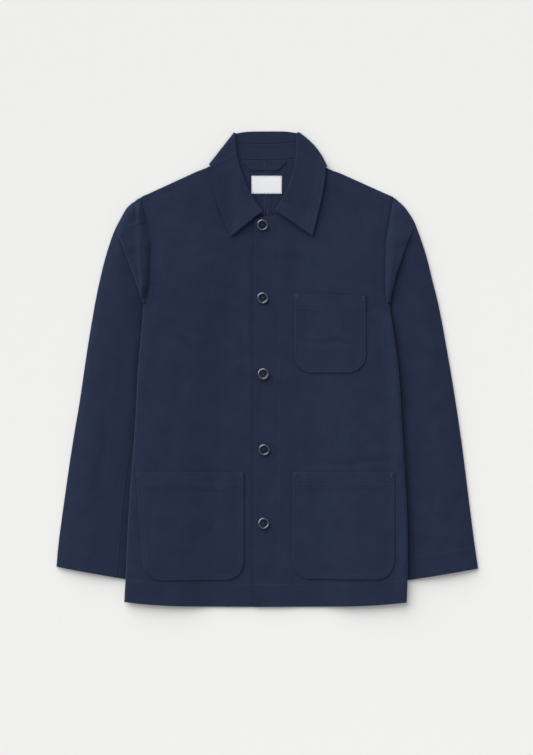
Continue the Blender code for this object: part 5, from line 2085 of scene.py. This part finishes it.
class JACKET_OT_collar(bpy.types.Operator):
    """Turns the collar's leaf over its stand round the neck"""

    bl_idname = "jacket.collar"
    bl_label = "Collar"

    def execute(self, context):
        sew_panel("collar_stand", "left", collar(stand_row), COLLAR_SHARE, STAND_CUT)
        sew_panel("collar_leaf", "left", collar(leaf_row), COLLAR_SHARE, LEAF_CUT)
        return {"FINISHED"}


class JACKET_OT_pockets(bpy.types.Operator):
    """Lays the three patch pockets on the fronts"""

    bl_idname = "jacket.pockets"
    bl_label = "Patch pockets"

    def execute(self, context):
        for shape in POCKETS:
            sew_panel(shape["name"], "left", pocket(shape), POCKET_SHARE, shape["cut"])
        return {"FINISHED"}


class JACKET_OT_neck(bpy.types.Operator):
    """Lays the blank label and the hanger loop inside the back neck"""

    bl_idname = "jacket.neck"
    bl_label = "Label and hanger loop"

    def execute(self, context):
        sew_panel("neck_label", "left", neck_label(), LABEL_SHARE, LABEL_CUT,
                  "label", LABEL_WALL, woven_satin)
        sew_panel("hanger_loop", "left", hanger_loop(), LABEL_SHARE, LOOP_CUT)
        return {"FINISHED"}


class JACKET_OT_buttons(bpy.types.Operator):
    """Sews the five resin buttons on the left front"""

    bl_idname = "jacket.buttons"
    bl_label = "Buttons"

    def execute(self, context):
        for number, button in enumerate(BUTTONS, 1):
            make_button(number, **button)
        return {"FINISHED"}


class JACKET_OT_sew_fronts(bpy.types.Operator):
    """Stitches the facing and the hem of the fronts"""

    bl_idname = "jacket.sew_fronts"
    bl_label = "Stitches of the fronts"

    def execute(self, context):
        bm = bmesh.new()
        trees = {side: surface_tree("front_" + side) for side in SIGN}
        facing = [(FACING_STITCH, y) for y in steps(HEM_MIDDLE + HEM_STITCH, FACING_TOP, 30)]
        sew_line(bm, trees["left"], facing)
        for side in SIGN:
            sew_line(bm, trees[side], hem_points(side))
        finish_sewing("front_stitches", bm)
        return {"FINISHED"}


class JACKET_OT_sew_buttonholes(bpy.types.Operator):
    """Works the five buttonholes with a close stitch round a slit"""

    bl_idname = "jacket.sew_buttonholes"
    bl_label = "Buttonholes"

    def execute(self, context):
        bm = bmesh.new()
        tree = surface_tree("front_left")
        for button in BUTTONS:
            y = button["y"]
            start = button["x"] + BUTTONHOLE_SHIFT - BUTTONHOLE / 2
            end = start + BUTTONHOLE
            rows = [[(start, y + up), (end, y + up)] for up in (-BUTTONHOLE_ROW, BUTTONHOLE_ROW)]
            rows += [[(x, y - BUTTONHOLE_BAR), (x, y + BUTTONHOLE_BAR)] for x in (start, end)]
            for row in rows:
                sew_line(bm, tree, row, pitch=BUTTONHOLE_PITCH, length=BUTTONHOLE_STITCH,
                         slant=pi / 2)
        finish_sewing("buttonhole_stitches", bm)
        return {"FINISHED"}


class JACKET_OT_sew_pockets(bpy.types.Operator):
    """Stitches the pockets' edges and hems, with a bar tack at each top corner"""

    bl_idname = "jacket.sew_pockets"
    bl_label = "Stitches of the pockets"

    def execute(self, context):
        for shape in POCKETS:
            bm = bmesh.new()
            tree = surface_tree(shape["name"])
            height = shape["top"] - shape["foot"]
            for inset in POCKET_STITCHES:
                sew_line(bm, tree, pocket_outline(shape, inset))
            for below in shape["hem"]:
                row = [pocket_rim(shape, across, height - below, POCKET_STITCHES[0])
                       for across in steps(-1.0, 1.0, 12)]
                sew_line(bm, tree, row)
            for across in (-1.0, 1.0):
                tack = [pocket_rim(shape, across, height - down, TACK_INSET) for down in TACK_ENDS]
                sew_line(bm, tree, tack, pitch=TACK_PITCH, length=TACK_STITCH, slant=pi / 2)
            finish_sewing(shape["name"] + "_stitches", bm)
        return {"FINISHED"}


class JACKET_OT_sew_collar(bpy.types.Operator):
    """Stitches the collar's edge, its stand seam and the neck seam"""

    bl_idname = "jacket.sew_collar"
    bl_label = "Stitches of the collar"

    def execute(self, context):
        bm = bmesh.new()
        trees = {piece: surface_tree("collar_" + piece) for piece in ("leaf", "stand")}
        for side in SIGN:
            sew_line(bm, trees["leaf"], leaf_rows(side))
        for piece, distance in NECK_ROWS:
            row = [across_leaf(back_station(share), distance)
                   for share in steps(*NECK_ROW_SHARES, 24)]
            sew_line(bm, trees[piece], row)
        finish_sewing("collar_stitches", bm)
        return {"FINISHED"}


class JACKET_OT_sew_sleeves(bpy.types.Operator):
    """Stitches the sleeves' cuffs and forearm seams, above and below"""

    bl_idname = "jacket.sew_sleeves"
    bl_label = "Stitches of the sleeves"

    def execute(self, context):
        bm = bmesh.new()
        for side in SIGN:
            top = "top_sleeve_" + side
            trees = {piece: surface_tree(piece) for piece in (top, "under_sleeve_" + side)}
            for piece, row, above in cuff_rows(side):
                sew_line(bm, trees[piece], row, from_above=above)
            sew_line(bm, trees[top], sleeve_seam(side, "forearm"))
            sew_line(bm, trees[top], sleeve_seam(side, "elbow"), from_above=False)
        finish_sewing("sleeve_stitches", bm)
        return {"FINISHED"}


class JACKET_OT_sew_back(bpy.types.Operator):
    """Stitches the centre back seam, above and below, and the back's hem"""

    bl_idname = "jacket.sew_back"
    bl_label = "Stitches of the back"

    def execute(self, context):
        bm = bmesh.new()
        for side in SIGN:
            tree = surface_tree("back_" + side)
            out = CENTRE_STITCH[side]
            seen = [(out, y) for y in steps(CENTRE_SEEN, NECK_SEAM, 8)]
            sew_line(bm, tree, on_side(side, seen))
            whole = [(out, y) for y in steps(HEM_MIDDLE + ROW_FOOT, NECK_SEAM, 24)]
            sew_line(bm, tree, on_side(side, whole), from_above=False)
            last = BODY_SIDE.at(side, HEM_MIDDLE + HEM_STITCH) - SIDE_LEG
            hem = [(out, hem_height(out) + HEM_STITCH) for out in steps(ROW_END, last, 20)]
            sew_line(bm, tree, on_side(side, hem), from_above=False)
        finish_sewing("back_stitches", bm)
        return {"FINISHED"}


class JACKET_OT_sew_label(bpy.types.Operator):
    """Sews the label on along its four edges"""

    bl_idname = "jacket.sew_label"
    bl_label = "Stitches of the label"

    def execute(self, context):
        bm = bmesh.new()
        tree = surface_tree("neck_label")
        left, right = LABEL_SIDES[0] + LABEL_INSET, LABEL_SIDES[1] - LABEL_INSET
        low, high = LABEL_HEIGHTS[0] + LABEL_INSET, LABEL_HEIGHTS[1] - LABEL_INSET
        for row in ([(left, high), (right, high)], [(left, low), (right, low)],
                    [(left, low), (left, high)], [(right, low), (right, high)]):
            sew_line(bm, tree, row, wall=LABEL_WALL, pitch=LABEL_PITCH)
        finish_sewing("label_stitches", bm)
        return {"FINISHED"}


class JACKET_OT_stage(bpy.types.Operator):
    """Lays the pale paper under the jacket and sets the lights and the camera"""

    bl_idname = "jacket.stage"
    bl_label = "Stage"

    def execute(self, context):
        scene = context.scene
        settings = scene.jacket_stage
        bm = bmesh.new()
        bmesh.ops.create_grid(bm, x_segments=8, y_segments=8, size=FLOOR_HALF)
        bmesh.ops.translate(bm, verts=bm.verts[:], vec=(0.0, 0.0, -FLOOR_GAP))
        floor = add_piece("paper_floor", bm)
        floor.data.materials.append(material_of(seamless_paper))
        floor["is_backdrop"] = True
        scene.world = bpy.data.worlds.new("soft_studio")
        scene.world.use_nodes = True
        set_inputs(scene.world.node_tree.nodes["Background"], Color=linear("#ffffff"),
                   Strength=settings.fill)
        sun = bpy.data.lights.new("key_light", "SUN")
        sun.energy = settings.key_power
        sun.angle = radians(settings.key_spread)
        gloss = bpy.data.lights.new("gloss_light", "AREA")
        gloss.energy = settings.gloss_power
        gloss.size = GLOSS_SIZE
        for light, place in ((sun, SUN_WAY), (gloss, GLOSS_PLACE)):
            lamp = bpy.data.objects.new(light.name, light)
            lamp.location = place
            lamp.rotation_euler = Vector(place).to_track_quat("Z", "Y").to_euler()
            scene.collection.objects.link(lamp)
        camera = bpy.data.cameras.new("camera")
        camera.lens = settings.lens
        camera.sensor_width = 36.0
        seat = bpy.data.objects.new("camera", camera)
        seat.location = settings.camera_place
        scene.collection.objects.link(seat)
        scene.camera = seat
        scene.view_settings.view_transform = "Standard"
        return {"FINISHED"}


STEPS = (
    JACKET_OT_backs, JACKET_OT_sleeves, JACKET_OT_fronts, JACKET_OT_collar, JACKET_OT_pockets,
    JACKET_OT_neck, JACKET_OT_buttons, JACKET_OT_sew_fronts, JACKET_OT_sew_buttonholes,
    JACKET_OT_sew_pockets, JACKET_OT_sew_collar, JACKET_OT_sew_sleeves, JACKET_OT_sew_back,
    JACKET_OT_sew_label, JACKET_OT_stage,
)


class JACKET_PT_panel(bpy.types.Panel):
    """The jacket's settings and pieces"""

    bl_label = "Chore jacket"
    bl_idname = "JACKET_PT_panel"
    bl_space_type = "VIEW_3D"
    bl_region_type = "UI"
    bl_category = "Jacket"

    def draw(self, context):
        for name in SETTINGS:
            group = getattr(context.scene, name)
            box = self.layout.box()
            for field in group.bl_rna.properties:
                if field.identifier not in ("rna_type", "name"):
                    box.prop(group, field.identifier)
        for step in STEPS:
            self.layout.operator(step.bl_idname)


SETTINGS = {
    "jacket_cloth": JacketCloth,
    "jacket_sewing": JacketSewing,
    "jacket_finish": JacketFinish,
    "jacket_stage": JacketStage,
}


def register():
    for name, group in SETTINGS.items():
        bpy.utils.register_class(group)
        setattr(bpy.types.Scene, name, PointerProperty(type=group))
    for step in STEPS:
        bpy.utils.register_class(step)
    bpy.utils.register_class(JACKET_PT_panel)


def unregister():
    bpy.utils.unregister_class(JACKET_PT_panel)
    for step in reversed(STEPS):
        bpy.utils.unregister_class(step)
    for name, group in SETTINGS.items():
        delattr(bpy.types.Scene, name)
        bpy.utils.unregister_class(group)


def main():
    register()
    for step in STEPS:
        group, name = step.bl_idname.split(".")
        getattr(getattr(bpy.ops, group), name)()
    boxes = {"cad": CAD_BOX, "visual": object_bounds()}
    sizes = {key: [list(corner) for corner in box] for key, box in boxes.items()}


if __name__ == "__main__":
    main()
